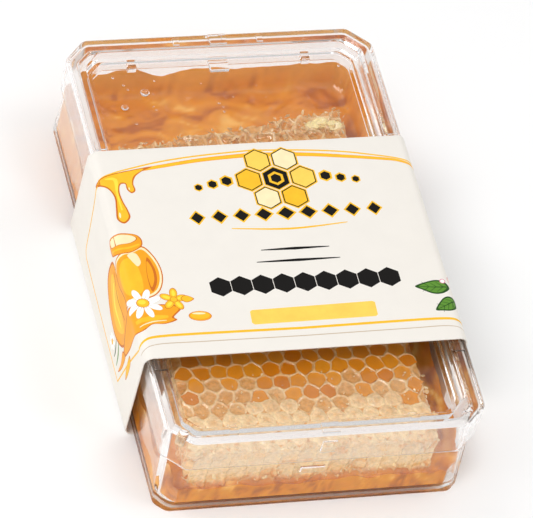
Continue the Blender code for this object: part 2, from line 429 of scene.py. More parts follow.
@dataclass(frozen=True)
class Finish:
    """A Principled finish with a drift of colour, an uneven gloss and, where depth is set, a faint relief."""

    name: str
    colour: Colour | None
    gloss: tuple[float, float]
    gloss_wave: float = 0.003
    drift: float = 0.06
    drift_wave: float = 0.004
    depth: float = 0.0
    depth_wave: float = 0.001
    settings: dict[str, Any] = field(default_factory=dict)

    def build(self, effects: SharedEffects) -> bpy.types.Material:
        """Make the material.

        Args:
            effects: The shared node groups.

        Returns:
            The material; with no colour of its own it shows the mesh's tint attribute.
        """
        made = bpy.data.materials.new(self.name)
        made.use_nodes = True
        bench = NodeBench(made.node_tree)
        shader = made.node_tree.nodes["Principled BSDF"]
        colour: Any = self.colour
        if colour is None:
            colour = bench.node("ShaderNodeAttribute", attribute_name=TINT).outputs["Color"]
        low, high = self.gloss
        values = {
            "Base Color": bench.grouped(
                effects.drift, {"Colour": colour, "Wave": self.drift_wave, "Amount": self.drift}
            ),
            "Roughness": bench.grouped(effects.gloss, {"Wave": self.gloss_wave, "Low": low, "High": high}),
            **self.settings,
        }
        if self.depth:
            values["Normal"] = bench.grouped(effects.relief, {"Wave": self.depth_wave, "Depth": self.depth})
        for title, value in values.items():
            bench.feed(shader.inputs[title], value)
        return made


@dataclass(frozen=True)
class ClearPlastic:
    """Clear moulded plastic that lets the lamps through to what is inside it."""

    name: str
    colour: Colour
    roughness: tuple[float, float]
    index: float = 1.42
    deepest: float = 3.0
    gloss_wave: float = 0.02

    def build(self, effects: SharedEffects) -> bpy.types.Material:
        """Make the material.

        Args:
            effects: The shared node groups.

        Returns:
            Glass that shadow rays and scattered light pass straight through.
        """
        made = bpy.data.materials.new(self.name)
        made.use_nodes = True
        bench = NodeBench(made.node_tree)
        shader = made.node_tree.nodes["Principled BSDF"]
        low, high = self.roughness
        values = {
            "Base Color": self.colour,
            "Transmission Weight": 1.0,
            "IOR": self.index,
            "Roughness": bench.grouped(effects.gloss, {"Wave": self.gloss_wave, "Low": low, "High": high}),
        }
        for title, value in values.items():
            bench.feed(shader.inputs[title], value)
        path = bench.node("ShaderNodeLightPath").outputs
        deep = bench.math("GREATER_THAN", path["Ray Depth"], self.deepest)
        unseen = bench.math("MAXIMUM", path["Is Shadow Ray"], path["Is Diffuse Ray"])
        through = bench.node("ShaderNodeBsdfTransparent", {"Color": self.colour})
        mix = bench.node("ShaderNodeMixShader")
        sockets = (bench.math("MAXIMUM", unseen, deep), shader.outputs[0], through.outputs[0])
        for socket, value in zip(mix.inputs, sockets):
            bench.feed(socket, value)
        bench.feed(made.node_tree.nodes["Material Output"].inputs["Surface"], mix.outputs[0])
        return made


# --- the studio ------------------------------------------------------------------------------------------
@dataclass(frozen=True)
class Softbox:
    """A square area lamp aimed at the pack."""

    name: str
    azimuth: float
    elevation: float
    distance: float
    side: float
    power: float


@dataclass
class Studio:
    """Camera, floor, lamps and surroundings."""

    target: Vector = field(default_factory=lambda: Vector((0.0, 0.0, 0.016)))
    azimuth: float = -25.81
    elevation: float = 48.78
    roll: float = 16.56
    distance: float = 1.6071
    lens: float = 384.1
    slide_right: float = 1.64 * MM
    slide_up: float = 2.55 * MM
    floor_side: float = 6.0
    softboxes: tuple[Softbox, ...] = (
        Softbox("key", -60.0, 55.0, 1.1, 0.45, 4.2),
        Softbox("fill", 70.0, 50.0, 1.2, 0.45, 2.2),
        Softbox("back", 235.0, 35.0, 1.2, 0.45, 2.0),
    )
    sky_high: float = 0.66
    sky_low: float = 0.8

    @staticmethod
    def direction(azimuth: float, elevation: float) -> Vector:
        """Unit vector from the pack towards a viewer at that azimuth and elevation, in degrees."""
        turn, rise = math.radians(azimuth), math.radians(elevation)
        return Vector((math.sin(turn) * math.cos(rise), -math.cos(turn) * math.cos(rise), math.sin(rise)))

    def place_camera(self) -> None:
        """Make the camera at the product's viewing angle, rolled a little to the left."""
        back = self.direction(self.azimuth, self.elevation)
        right = (-back).cross(Vector((0, 0, 1))).normalized()
        up = right.cross(-back)
        roll = math.radians(self.roll)
        across = right * math.cos(roll) + up * math.sin(roll)
        upward = up * math.cos(roll) - right * math.sin(roll)
        data = bpy.data.cameras.new("camera")
        data.lens = self.lens
        data.clip_start, data.clip_end = 0.05, 20.0
        camera = bpy.data.objects.new("camera", data)
        place = self.target + back * self.distance + across * self.slide_right + upward * self.slide_up
        turned = Matrix((across, upward, back)).transposed().to_4x4()
        camera.matrix_world = Matrix.Translation(place) @ turned
        bpy.context.scene.collection.objects.link(camera)
        bpy.context.scene.camera = camera

    def lay_floor(self, effects: SharedEffects) -> None:
        """Lay a pale floor under the pack.

        Args:
            effects: The shared node groups.
        """
        mesh = bmesh.new()
        bmesh.ops.create_grid(mesh, x_segments=1, y_segments=1, size=self.floor_side / 2)
        bmesh.ops.translate(mesh, vec=(0, 0, -0.1 * MM), verts=mesh.verts)
        floor = object_from(mesh, "floor")
        finish = Finish("pale_floor", (0.93, 0.93, 0.93), (0.6, 0.8), drift=0.0, gloss_wave=0.1)
        floor.data.materials.append(finish.build(effects))

    def hang_lamps(self) -> None:
        """Hang the softboxes."""
        for box in self.softboxes:
            data = bpy.data.lights.new(box.name, "AREA")
            data.shape = "SQUARE"
            data.size = box.side
            data.energy = box.power
            lamp = bpy.data.objects.new(box.name, data)
            away = self.direction(box.azimuth, box.elevation)
            lamp.location = self.target + away * box.distance
            lamp.rotation_euler = (-away).to_track_quat("-Z", "Y").to_euler()
            bpy.context.scene.collection.objects.link(lamp)

    def make_surroundings(self) -> None:
        """Light the room evenly from above, with a brighter band round the horizon that edges can mirror."""
        world = bpy.data.worlds.new("room")
        bpy.context.scene.world = world
        world.use_nodes = True
        bench = NodeBench(world.node_tree)
        place = bench.node("ShaderNodeTexCoord").outputs["Generated"]
        height = bench.node("ShaderNodeSeparateXYZ", {"Vector": place}).outputs["Z"]
        level = bench.span(height, 0.0, 0.6, self.sky_low, self.sky_high)
        background = world.node_tree.nodes["Background"]
        bench.feed(background.inputs["Strength"], level)
        bench.feed(background.inputs["Color"], (1.0, 1.0, 1.0))

    def build(self, effects: SharedEffects) -> None:
        """Set up the whole studio.

        Args:
            effects: The shared node groups.
        """
        self.place_camera()
        self.lay_floor(effects)
        self.hang_lamps()
        self.make_surroundings()
        bpy.context.scene.view_settings.view_transform = "Standard"
        bpy.context.scene.view_settings.look = "None"


# --- the clear box ---------------------------------------------------------------------------------------
@dataclass(frozen=True)
class Station:
    """One corner of a wall's section: how far in from the outline, how high, and its corner's cut."""

    inset: float
    height: float
    cut: float | None = None
    round: float = 0.25 * MM


@dataclass
class BoxShape:
    """The outline that lid, base and honey share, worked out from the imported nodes."""

    half_x: float
    half_y: float
    foot: float
    corner_cut: float = 6.5 * MM
    corner_round: float = 1.3 * MM
    corner_steps: int = 4

    @classmethod
    def from_frame(cls, base_inset: float) -> "BoxShape":
        """Read the outline from the lid's width and the base's length and height.

        Args:
            base_inset: How far the base stands in from the lid.

        Returns:
            The outline.
        """
        base_low, base_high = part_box("box_base")
        lid_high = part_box("box_lid")[1]
        return cls(lid_high.x, base_high.y + base_inset, base_low.z)

    def ring(self, station: Station) -> list[Vector]:
        """Points of the eight-sided outline at a station, with its corners rounded.

        Args:
            station: How far in, how high and how cut the ring is.

        Returns:
            Points round the ring.
        """
        x, y = self.half_x - station.inset, self.half_y - station.inset
        cut = station.cut
        if cut is None:
            cut = self.corner_cut - OFFSET_CUT * station.inset
        z = self.foot + station.height
        flat = [(x - cut, -y), (x, cut - y), (x, y - cut), (x - cut, y)]
        flat += [(cut - x, y), (-x, y - cut), (-x, cut - y), (cut - x, -y)]
        corners = [Vector((px, py, z)) for px, py in flat]
        return softened(corners, [self.corner_round] * len(corners), self.corner_steps, closed=True)

    def shell(self, stations: Sequence[Station], steps: int = 3) -> bmesh.types.BMesh:
        """Closed wall through stations, with every turn of its section rounded.

        Args:
            stations: The section's corners, from the middle of one face to the middle of the other.
            steps: Segments in each rounded turn.

        Returns:
            The mesh.
        """
        known = [s.cut if s.cut is not None else self.corner_cut - OFFSET_CUT * s.inset for s in stations]
        line = [Vector((s.inset, s.height, cut)) for s, cut in zip(stations, known)]
        soft = softened(line, [s.round for s in stations], steps, closed=False)
        return body_through([self.ring(Station(point.x, point.y, point.z)) for point in soft])


@dataclass
class ClearBox:
    """Base tray and lid of clear plastic, with the lugs and tabs moulded onto them."""

    shape: BoxShape
    box_height: float = 32.8 * MM
    flange_low: float = 26.6 * MM
    skirt_low: float = 20.4 * MM
    skirt_inset: float = 0.4 * MM
    skirt_inner: float = 1.2 * MM
    window_inset: float = 7.5 * MM
    window_height: float = 27.5 * MM
    window_thick: float = 1.6 * MM
    window_cut: float = 3.6 * MM
    rim_inner: float = 5.2 * MM
    rim_cut: float = 4.6 * MM
    ledge: float = 30.4 * MM
    channel_roof: float = 31.2 * MM
    channel_inner: float = 3.5 * MM
    base_inset: float = 1.55 * MM
    base_wall: float = 1.6 * MM
    base_top: float = 30.8 * MM
    draft: float = 0.2 * MM
    foot_cut: float = 3.2 * MM
    floor_top: float = 3.2 * MM
    foot_height: float = 1.0 * MM
    foot_inner: float = 4.45 * MM
    middle: float = 4.0 * MM
    sink: float = 0.4 * MM
    tab_half: float = 2.6 * MM
    tab_rise: float = 0.58 * MM
    plate_half: float = 2.2 * MM
    plate_low: float = 25.2 * MM
    plate_height: float = 5.0 * MM
    lug_spread: float = 26.0 * MM
    lug_half: float = 1.3 * MM
    lug_rise: float = 1.8 * MM
    tongue_half: float = 2.9 * MM
    tongue_rise: float = 0.9 * MM
    rib_spread: float = 12.5 * MM
    rib_half: float = 1.0 * MM
    rib_rise: float = 0.4 * MM
    stop_gap: float = 0.9 * MM
    stop_length: float = 3.0 * MM
    stop_near: float = 1.4 * MM
    stop_far: float = 5.0 * MM
    stop_rise: float = 0.5 * MM
    post_place: tuple[float, float] = (40.6 * MM, -67.6 * MM)
    post_radius: tuple[float, float] = (1.5 * MM, 1.4 * MM)
    post_rise: float = 0.45 * MM
    latch_left: float = -5.6 * MM
    latch_right: float = 1.6 * MM
    latch_low: float = 14.6 * MM
    latch_high: float = 17.2 * MM
    latch_proud: float = 0.7 * MM
    latch_round: float = 0.5 * MM
    droplet_count: int = 26

    def lid_stations(self) -> list[Station]:
        """Section of the lid from its window's top, over the rim and skirt, to the window's underside.

        Returns:
            The stations in order.
        """
        under = self.window_height - self.window_thick
        deep = self.window_inset + self.middle
        deep_cut = self.window_cut - OFFSET_CUT * self.middle
        return [
            Station(deep, self.window_height, deep_cut),
            Station(self.window_inset, self.window_height, self.window_cut),
            Station(self.window_inset - 0.4 * MM, self.ledge, self.window_cut),
            Station(self.rim_inner + 0.5 * MM, self.ledge, self.rim_cut),
            Station(self.rim_inner, self.box_height, self.rim_cut, 0.4 * MM),
            Station(0.0, self.box_height, None, 1.1 * MM),
            Station(0.0, self.flange_low),
            Station(self.skirt_inset, self.flange_low - 0.1 * MM),
            Station(self.skirt_inset, self.skirt_low),
            Station(self.skirt_inner, self.skirt_low),
            Station(self.skirt_inner, self.channel_roof),
            Station(self.channel_inner, self.channel_roof),
            Station(self.channel_inner + 0.3 * MM, self.ledge - self.window_thick),
            Station(self.window_inset - 1.4 * MM, self.ledge - self.window_thick, self.window_cut),
            Station(self.window_inset - 1.2 * MM, under, self.window_cut),
            Station(deep, under, deep_cut),
        ]

    def base_stations(self) -> list[Station]:
        """Section of the base from its floor, over the wall, to the foot's inner side.

        Returns:
            The stations in order.
        """
        inner_top = self.base_inset + self.base_wall
        inner_low = inner_top + self.draft
        outer_low = self.base_inset + self.draft
        inner_cut = self.foot_cut - OFFSET_CUT * self.base_wall
        deep_cut = inner_cut - OFFSET_CUT * self.middle / 2
        return [
            Station(inner_low + self.middle, self.floor_top, deep_cut),
            Station(inner_low, self.floor_top, inner_cut, 0.6 * MM),
            Station(inner_top, self.base_top),
            Station(self.base_inset, self.base_top),
            Station(self.base_inset, self.skirt_low - 1.2 * MM),
            Station(outer_low, 0.0, self.foot_cut, 0.5 * MM),
            Station(self.foot_inner, 0.0, inner_cut),
            Station(self.foot_inner + 0.3 * MM, self.foot_height, inner_cut),
            Station(self.foot_inner + self.middle, self.foot_height, deep_cut),
        ]

    @staticmethod
    def block(low: Sequence[float], high: Sequence[float], soft: float = 0.3 * MM) -> bpy.types.Object:
        """Rounded block between two corners, for joining to the lid or the base.

        Args:
            low: Lower left front corner.
            high: Upper right back corner.
            soft: How far its edges are rounded.

        Returns:
            The block.
        """
        mesh = bmesh.new()
        size = [b - a for a, b in zip(low, high)]
        bmesh.ops.create_cube(mesh, size=1.0)
        bmesh.ops.scale(mesh, vec=size, verts=mesh.verts)
        bmesh.ops.translate(mesh, vec=[(a + b) / 2 for a, b in zip(low, high)], verts=mesh.verts)
        bmesh.ops.bevel(
            mesh, geom=mesh.edges[:], offset=soft, affect="EDGES", segments=3, profile=0.5, material=-1,
            clamp_overlap=True,
        )
        return object_from(mesh, "block")

    def lid_extras(self) -> list[bpy.types.Object]:
        """Tabs on the rim, plates on the flange, lugs by the window, ribs, and the sleeve's stops.

        Returns:
            The blocks.
        """
        half_x, half_y = self.shape.half_x, self.shape.half_y
        top = self.shape.foot + self.box_height
        window = self.shape.foot + self.window_height
        sleeve_low, sleeve_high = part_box("paper_sleeve")
        rim, deep = self.rim_inner + self.sink, window - self.sink
        made = []

        def upright(
            end: int, reach: Sequence[float], x: float, half: float, heights: Sequence[float]
        ) -> None:
            """Add a block at one end of the lid, between two distances in from that end."""
            near, far = sorted(end * (half_y - inset) for inset in reach)
            made.append(self.block((x - half, near, heights[0]), (x + half, far, heights[1])))

        for end in (-1, 1):
            tab = (top - 1.2 * MM, top + self.tab_rise)
            upright(end, (self.rim_inner - 0.9 * MM, 0.6 * MM), 0.0, self.tab_half, tab)
            plate = self.shape.foot + self.plate_low
            upright(end, (-0.38 * MM, self.sink), 0.0, self.plate_half, (plate, plate + self.plate_height))
            for side in (-1, 1):
                reach = (self.window_inset + 1.2 * MM, rim)
                upright(end, reach, side * self.lug_spread, self.lug_half, (deep, window + self.lug_rise))
        reach = (self.window_inset + 2.6 * MM, rim)
        upright(1, reach, 0.0, self.tongue_half, (deep, window + self.tongue_rise))
        for side in (-1, 1):
            rib = (top - self.sink, top + self.rib_rise)
            upright(1, (4.0 * MM, 1.4 * MM), side * self.rib_spread, self.rib_half, rib)
            for edge in (sleeve_low.y - self.stop_gap - self.stop_length, sleeve_high.y + self.stop_gap):
                across = sorted((side * (half_x - self.stop_near), side * (half_x - self.stop_far)))
                high = (across[1], edge + self.stop_length, top + self.stop_rise)
                made.append(self.block((across[0], edge, top - self.sink), high))
        return made

    @staticmethod
    def joined(target: bpy.types.Object, extras: Iterable[bpy.types.Object]) -> bpy.types.Object:
        """Union a piece with its extras and remove them.

        Args:
            target: The piece.
            extras: Closed objects to join to it.

        Returns:
            The piece, smooth but for its sharp edges.
        """
        extras = list(extras)
        for extra in extras:
            step = target.modifiers.new("union", "BOOLEAN")
            step.operation = "UNION"
            step.object = extra
        applied(target)
        for extra in extras:
            bpy.data.objects.remove(extra, do_unlink=True)
        target.data.shade_smooth()
        target.data.set_sharp_from_angle(angle=math.radians(50))
        weigh = target.modifiers.new("flat_faces_stay_flat", "WEIGHTED_NORMAL")
        weigh.keep_sharp = True
        return target

    def build_droplets(self, finish: bpy.types.Material) -> None:
        """Lay small clear beads on the window, behind the sleeve.

        Args:
            finish: The plastic.
        """
        mesh = bmesh.new()
        chance = random.Random(11)
        spots = [(-24.0, 56.0, 1.35), (-31.0, 51.0, 1.05), (-29.5, 59.5, 0.4)]
        draw = chance.uniform
        spots += [(draw(-35, 36), draw(36, 63), draw(0.15, 0.42)) for _ in range(self.droplet_count)]
        window = self.shape.foot + self.window_height
        for x, y, radius in spots:
            size = Matrix.Diagonal((radius * MM, radius * MM, radius * 0.6 * MM, 1.0))
            place = Matrix.Translation((x * MM, y * MM, window + radius * 0.35 * MM))
            bmesh.ops.create_uvsphere(mesh, u_segments=20, v_segments=12, radius=1.0, matrix=place @ size)
        settle(object_from(mesh, "window_droplets"), finish, Slot.LID)

    def build_posts(self) -> list[bpy.types.Object]:
        """Round posts in the rim's front corners.

        Returns:
            The posts.
        """
        made = []
        low = self.shape.foot + self.window_height
        high = self.shape.foot + self.box_height + self.post_rise
        for side in (-1, 1):
            mesh = bmesh.new()
            place = Matrix.Translation((side * self.post_place[0], self.post_place[1], (low + high) / 2))
            bmesh.ops.create_cone(
                mesh, cap_ends=True, segments=24, radius1=self.post_radius[0], radius2=self.post_radius[1],
                depth=high - low, matrix=place,
            )
            made.append(object_from(mesh, "post"))
        return made

    def build(self, effects: SharedEffects) -> None:
        """Make and dress the base and the lid.

        Args:
            effects: The shared node groups.
        """
        base_plastic = ClearPlastic("clear_base_plastic", (0.985, 0.98, 0.975), (0.01, 0.035))
        lid_plastic = ClearPlastic("clear_lid_plastic", (0.985, 0.98, 0.978), (0.01, 0.03))
        front = -self.shape.half_y + self.base_inset
        low = (self.latch_left, front - self.latch_proud, self.shape.foot + self.latch_low)
        high = (self.latch_right, front + self.sink, self.shape.foot + self.latch_high)
        latch = self.block(low, high, self.latch_round)
        base = object_from(self.shape.shell(self.base_stations()), "clear_base_tray")
        self.joined(base, [latch])
        settle(base, base_plastic.build(effects), Slot.BASE, "box_base")
        lid = object_from(self.shape.shell(self.lid_stations()), "clear_lid")
        self.joined(lid, self.lid_extras() + self.build_posts())
        finish = lid_plastic.build(effects)
        settle(lid, finish, Slot.LID, "box_lid")
        self.build_droplets(finish)


# --- the paper sleeve ------------------------------------------------------------------------------------
@dataclass
class Sleeve:
    """Band of coated card round the box; it also turns flat label places into places on the card."""

    low: Vector
    high: Vector
    margin: float = 0.04 * MM
    thick: float = 0.40 * MM
    radius: float = 2.85 * MM
    corner_steps: int = 12
    side_steps: int = 10
    lengths: int = 30

    @classmethod
    def from_frame(cls) -> "Sleeve":
        """Read the band's box from the frame."""
        low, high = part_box("paper_sleeve")
        return cls(low, high)

    @property
    def half(self) -> float:
        """Half of the band's width over the card."""
        return self.high.x - self.margin

    @property
    def top(self) -> float:
        """Height of the card's upper face."""
        return self.high.z - self.margin

    @property
    def flat(self) -> float:
        """Half of the width of the flat part of the top."""
        return self.half - self.radius

    def section(self) -> list[Vector]:
        """Points round the outside of the band, in X and Z.

        Returns:
            The points in order.
        """
        base = self.low.z + self.margin
        corners = [
            Vector((self.half, 0, self.top)),
            Vector((-self.half, 0, self.top)),
            Vector((-self.half, 0, base)),
            Vector((self.half, 0, base)),
        ]
        made: list[Vector] = []
        for place, corner in enumerate(corners):
            before = (corners[place - 1] - corner).normalized()
            after = (corners[(place + 1) % 4] - corner).normalized()
            centre = corner + (before + after) * self.radius
            for step in range(self.corner_steps + 1):
                turn = math.pi / 2 * step / self.corner_steps
                out = after * math.cos(turn) + before * math.sin(turn)
                made.append(centre - out * self.radius)
            nxt = corners[(place + 1) % 4]
            run_start, run_end = corner + after * self.radius, nxt - after * self.radius
            made += [run_start.lerp(run_end, step / self.side_steps) for step in range(1, self.side_steps)]
        return made

    def placed(self, across: float, along: float, lift: float) -> Vector:
        """Point on the card for a place on the flat label.

        Args:
            across: Distance from the label's middle, to the right, measured along the card.
            along: Distance from the pack's middle towards its back.
            lift: Height over the card.

        Returns:
            The point in the frame.
        """
        side, run = math.copysign(1.0, across), abs(across)
        turn = (run - self.flat) / self.radius
        if turn <= 0:
            return Vector((across, along, self.top + lift))
        reach = self.radius + lift
        if turn <= math.pi / 2:
            x, z = self.flat + reach * math.sin(turn), self.top - self.radius + reach * math.cos(turn)
            return Vector((side * x, along, z))
        down = run - self.flat - self.radius * math.pi / 2
        return Vector((side * (self.half + lift), along, self.top - self.radius - down))

    def build(self, effects: SharedEffects) -> None:
        """Make and dress the band.

        Args:
            effects: The shared node groups.
        """
        mesh = bmesh.new()
        ring = [mesh.verts.new((point.x, self.low.y, point.z)) for point in self.section()]
        edges = [mesh.edges.new((ring[i - 1], ring[i])) for i in range(len(ring))]
        step = (self.high.y - self.low.y) / self.lengths
        for _ in range(self.lengths):
            grown = bmesh.ops.extrude_edge_only(mesh, edges=edges)["geom"]
            verts = [item for item in grown if isinstance(item, bmesh.types.BMVert)]
            bmesh.ops.translate(mesh, vec=(0, step, 0), verts=verts)
            edges = [item for item in grown if isinstance(item, bmesh.types.BMEdge) and item.is_boundary]
        bmesh.ops.recalc_face_normals(mesh, faces=mesh.faces)
        middle = Vector((0, 0, (self.low.z + self.high.z) / 2))
        if mesh.faces[0].normal.dot(mesh.faces[0].calc_center_median() - middle) < 0:
            bmesh.ops.reverse_faces(mesh, faces=mesh.faces)
        sleeve = object_from(mesh, "paper_band")
        wall = sleeve.modifiers.new("card", "SOLIDIFY")
        wall.thickness = self.thick
        wall.offset = -1.0
        edge = sleeve.modifiers.new("cut_edges", "BEVEL")
        edge.width = 0.08 * MM
        edge.segments = 2
        edge.limit_method = "ANGLE"
        edge.angle_limit = math.radians(60)
        applied(sleeve)
        sleeve.data.shade_smooth()
        sleeve.data.set_sharp_from_angle(angle=math.radians(50))
        card = Finish(
            "coated_card", srgb(234, 229, 221), (0.42, 0.55), gloss_wave=8 * MM, drift=0.012,
            drift_wave=7 * MM, depth=0.006 * MM, depth_wave=0.35 * MM, settings={"Specular IOR Level": 0.4},
        )
        settle(sleeve, card.build(effects), Slot.PAPER, "paper_sleeve")


# --- the print on the sleeve -----------------------------------------------------------------------------
Spot = tuple[float, float]


class Ink(Enum):
    """Inks of the sleeve's print: name and colour."""

    GOLD = ("gold", srgb(246, 190, 44))
    AMBER = ("amber", srgb(244, 164, 34))
    RUST = ("rust", srgb(206, 112, 30))
    TAUPE = ("taupe", srgb(196, 176, 152))
    DARK = ("dark", srgb(10, 7, 5))
    STRAW = ("straw", srgb(252, 208, 92))
    LEMON = ("lemon", srgb(252, 222, 70))
    CREAM = ("cream", srgb(252, 232, 186))
    WHITE = ("white", srgb(254, 254, 252))
    SHADE = ("shade", srgb(216, 206, 190))
    LEAF = ("leaf", srgb(92, 142, 50))
    FERN = ("fern", srgb(38, 78, 24))
    ROSE = ("rose", srgb(214, 130, 150))


def smooth_loop(points: Sequence[Spot], steps: int = 5) -> list[Spot]:
    """Closed smooth outline through a few points.

    Args:
        points: Points that the outline passes.
        steps: Segments between two of them.

    Returns:
        The outline.
    """
    made: list[Spot] = []
    count = len(points)
    for place in range(count):
        before, start, end, after = (points[(place + shift) % count] for shift in (-1, 0, 1, 2))
        for step in range(steps):
            made.append(curve_spot(before, start, end, after, step / steps))
    return made


def smooth_line(points: Sequence[Spot], steps: int = 6) -> list[Spot]:
    """Open smooth line through a few points.

    Args:
        points: Points that the line passes.
        steps: Segments between two of them.

    Returns:
        The line.
    """
    made: list[Spot] = []
    padded = [points[0], *points, points[-1]]
    for place in range(1, len(padded) - 2):
        for step in range(steps):
            made.append(curve_spot(*padded[place - 1:place + 3], step / steps))
    made.append(points[-1])
    return made


def curve_spot(before: Spot, start: Spot, end: Spot, after: Spot, share: float) -> Spot:
    """Spot on the smooth curve from start to end that also heeds their neighbours.

    Args:
        before: Point before the start.
        start: Point at share 0.
        end: Point at share 1.
        after: Point after the end.
        share: How far along the curve.

    Returns:
        The spot.
    """

    def level(a: float, b: float, c: float, d: float) -> float:
        """One coordinate of the curve."""
        bend, twist = 2 * a - 5 * b + 4 * c - d, 3 * b - a - 3 * c + d
        return 0.5 * (2 * b + (c - a) * share + bend * share**2 + twist * share**3)

    x, y = (level(*four) for four in zip(before, start, end, after))
    return x, y


def stroke(points: Sequence[Spot], widths: Sequence[float]) -> list[Spot]:
    """Outline of a line whose width changes evenly through the given widths, in millimetres.

    Args:
        points: Points that the line passes.
        widths: Its widths from start to end.

    Returns:
        The outline.
    """
    line = smooth_line(points)
    left: list[Spot] = []
    right: list[Spot] = []
    for place, (x, y) in enumerate(line):
        ahead, behind = line[min(place + 1, len(line) - 1)], line[max(place - 1, 0)]
        run = Vector((ahead[0] - behind[0], ahead[1] - behind[1])).normalized()
        spot = place / (len(line) - 1) * (len(widths) - 1)
        low = min(int(spot), len(widths) - 2)
        half = (widths[low] + (widths[low + 1] - widths[low]) * (spot - low)) / 2
        left.append((x - run.y * half, y + run.x * half))
        right.append((x + run.y * half, y - run.x * half))
    return left + right[::-1]


def oval(middle: Spot, across: float, along: float, turn: float = 0.0, count: int = 20) -> list[Spot]:
    """Oval of two half widths, turned by some degrees.

    Args:
        middle: Its middle.
        across: Half width along its first axis.
        along: Half width along its second axis.
        turn: How far it is turned.
        count: Corners.

    Returns:
        The outline.
    """
    lean = math.radians(turn)
    made = []
    for place in range(count):
        angle = 2 * math.pi * place / count
        x, y = across * math.cos(angle), along * math.sin(angle)
        across_turned = x * math.cos(lean) - y * math.sin(lean)
        along_turned = x * math.sin(lean) + y * math.cos(lean)
        made.append((middle[0] + across_turned, middle[1] + along_turned))
    return made


def hexagon(middle: Spot, radius: float, turn: float = 90.0) -> list[Spot]:
    """Regular hexagon with a corner at the turn's angle."""
    return oval(middle, radius, radius, turn, 6)


def grown(points: Sequence[Spot], share: float) -> list[Spot]:
    """Outline scaled about its mean point.

    Args:
        points: The outline.
        share: 1 keeps its size.

    Returns:
        The scaled outline.
    """
    x = sum(point[0] for point in points) / len(points)
    y = sum(point[1] for point in points) / len(points)
    return [(x + (px - x) * share, y + (py - y) * share) for px, py in points]


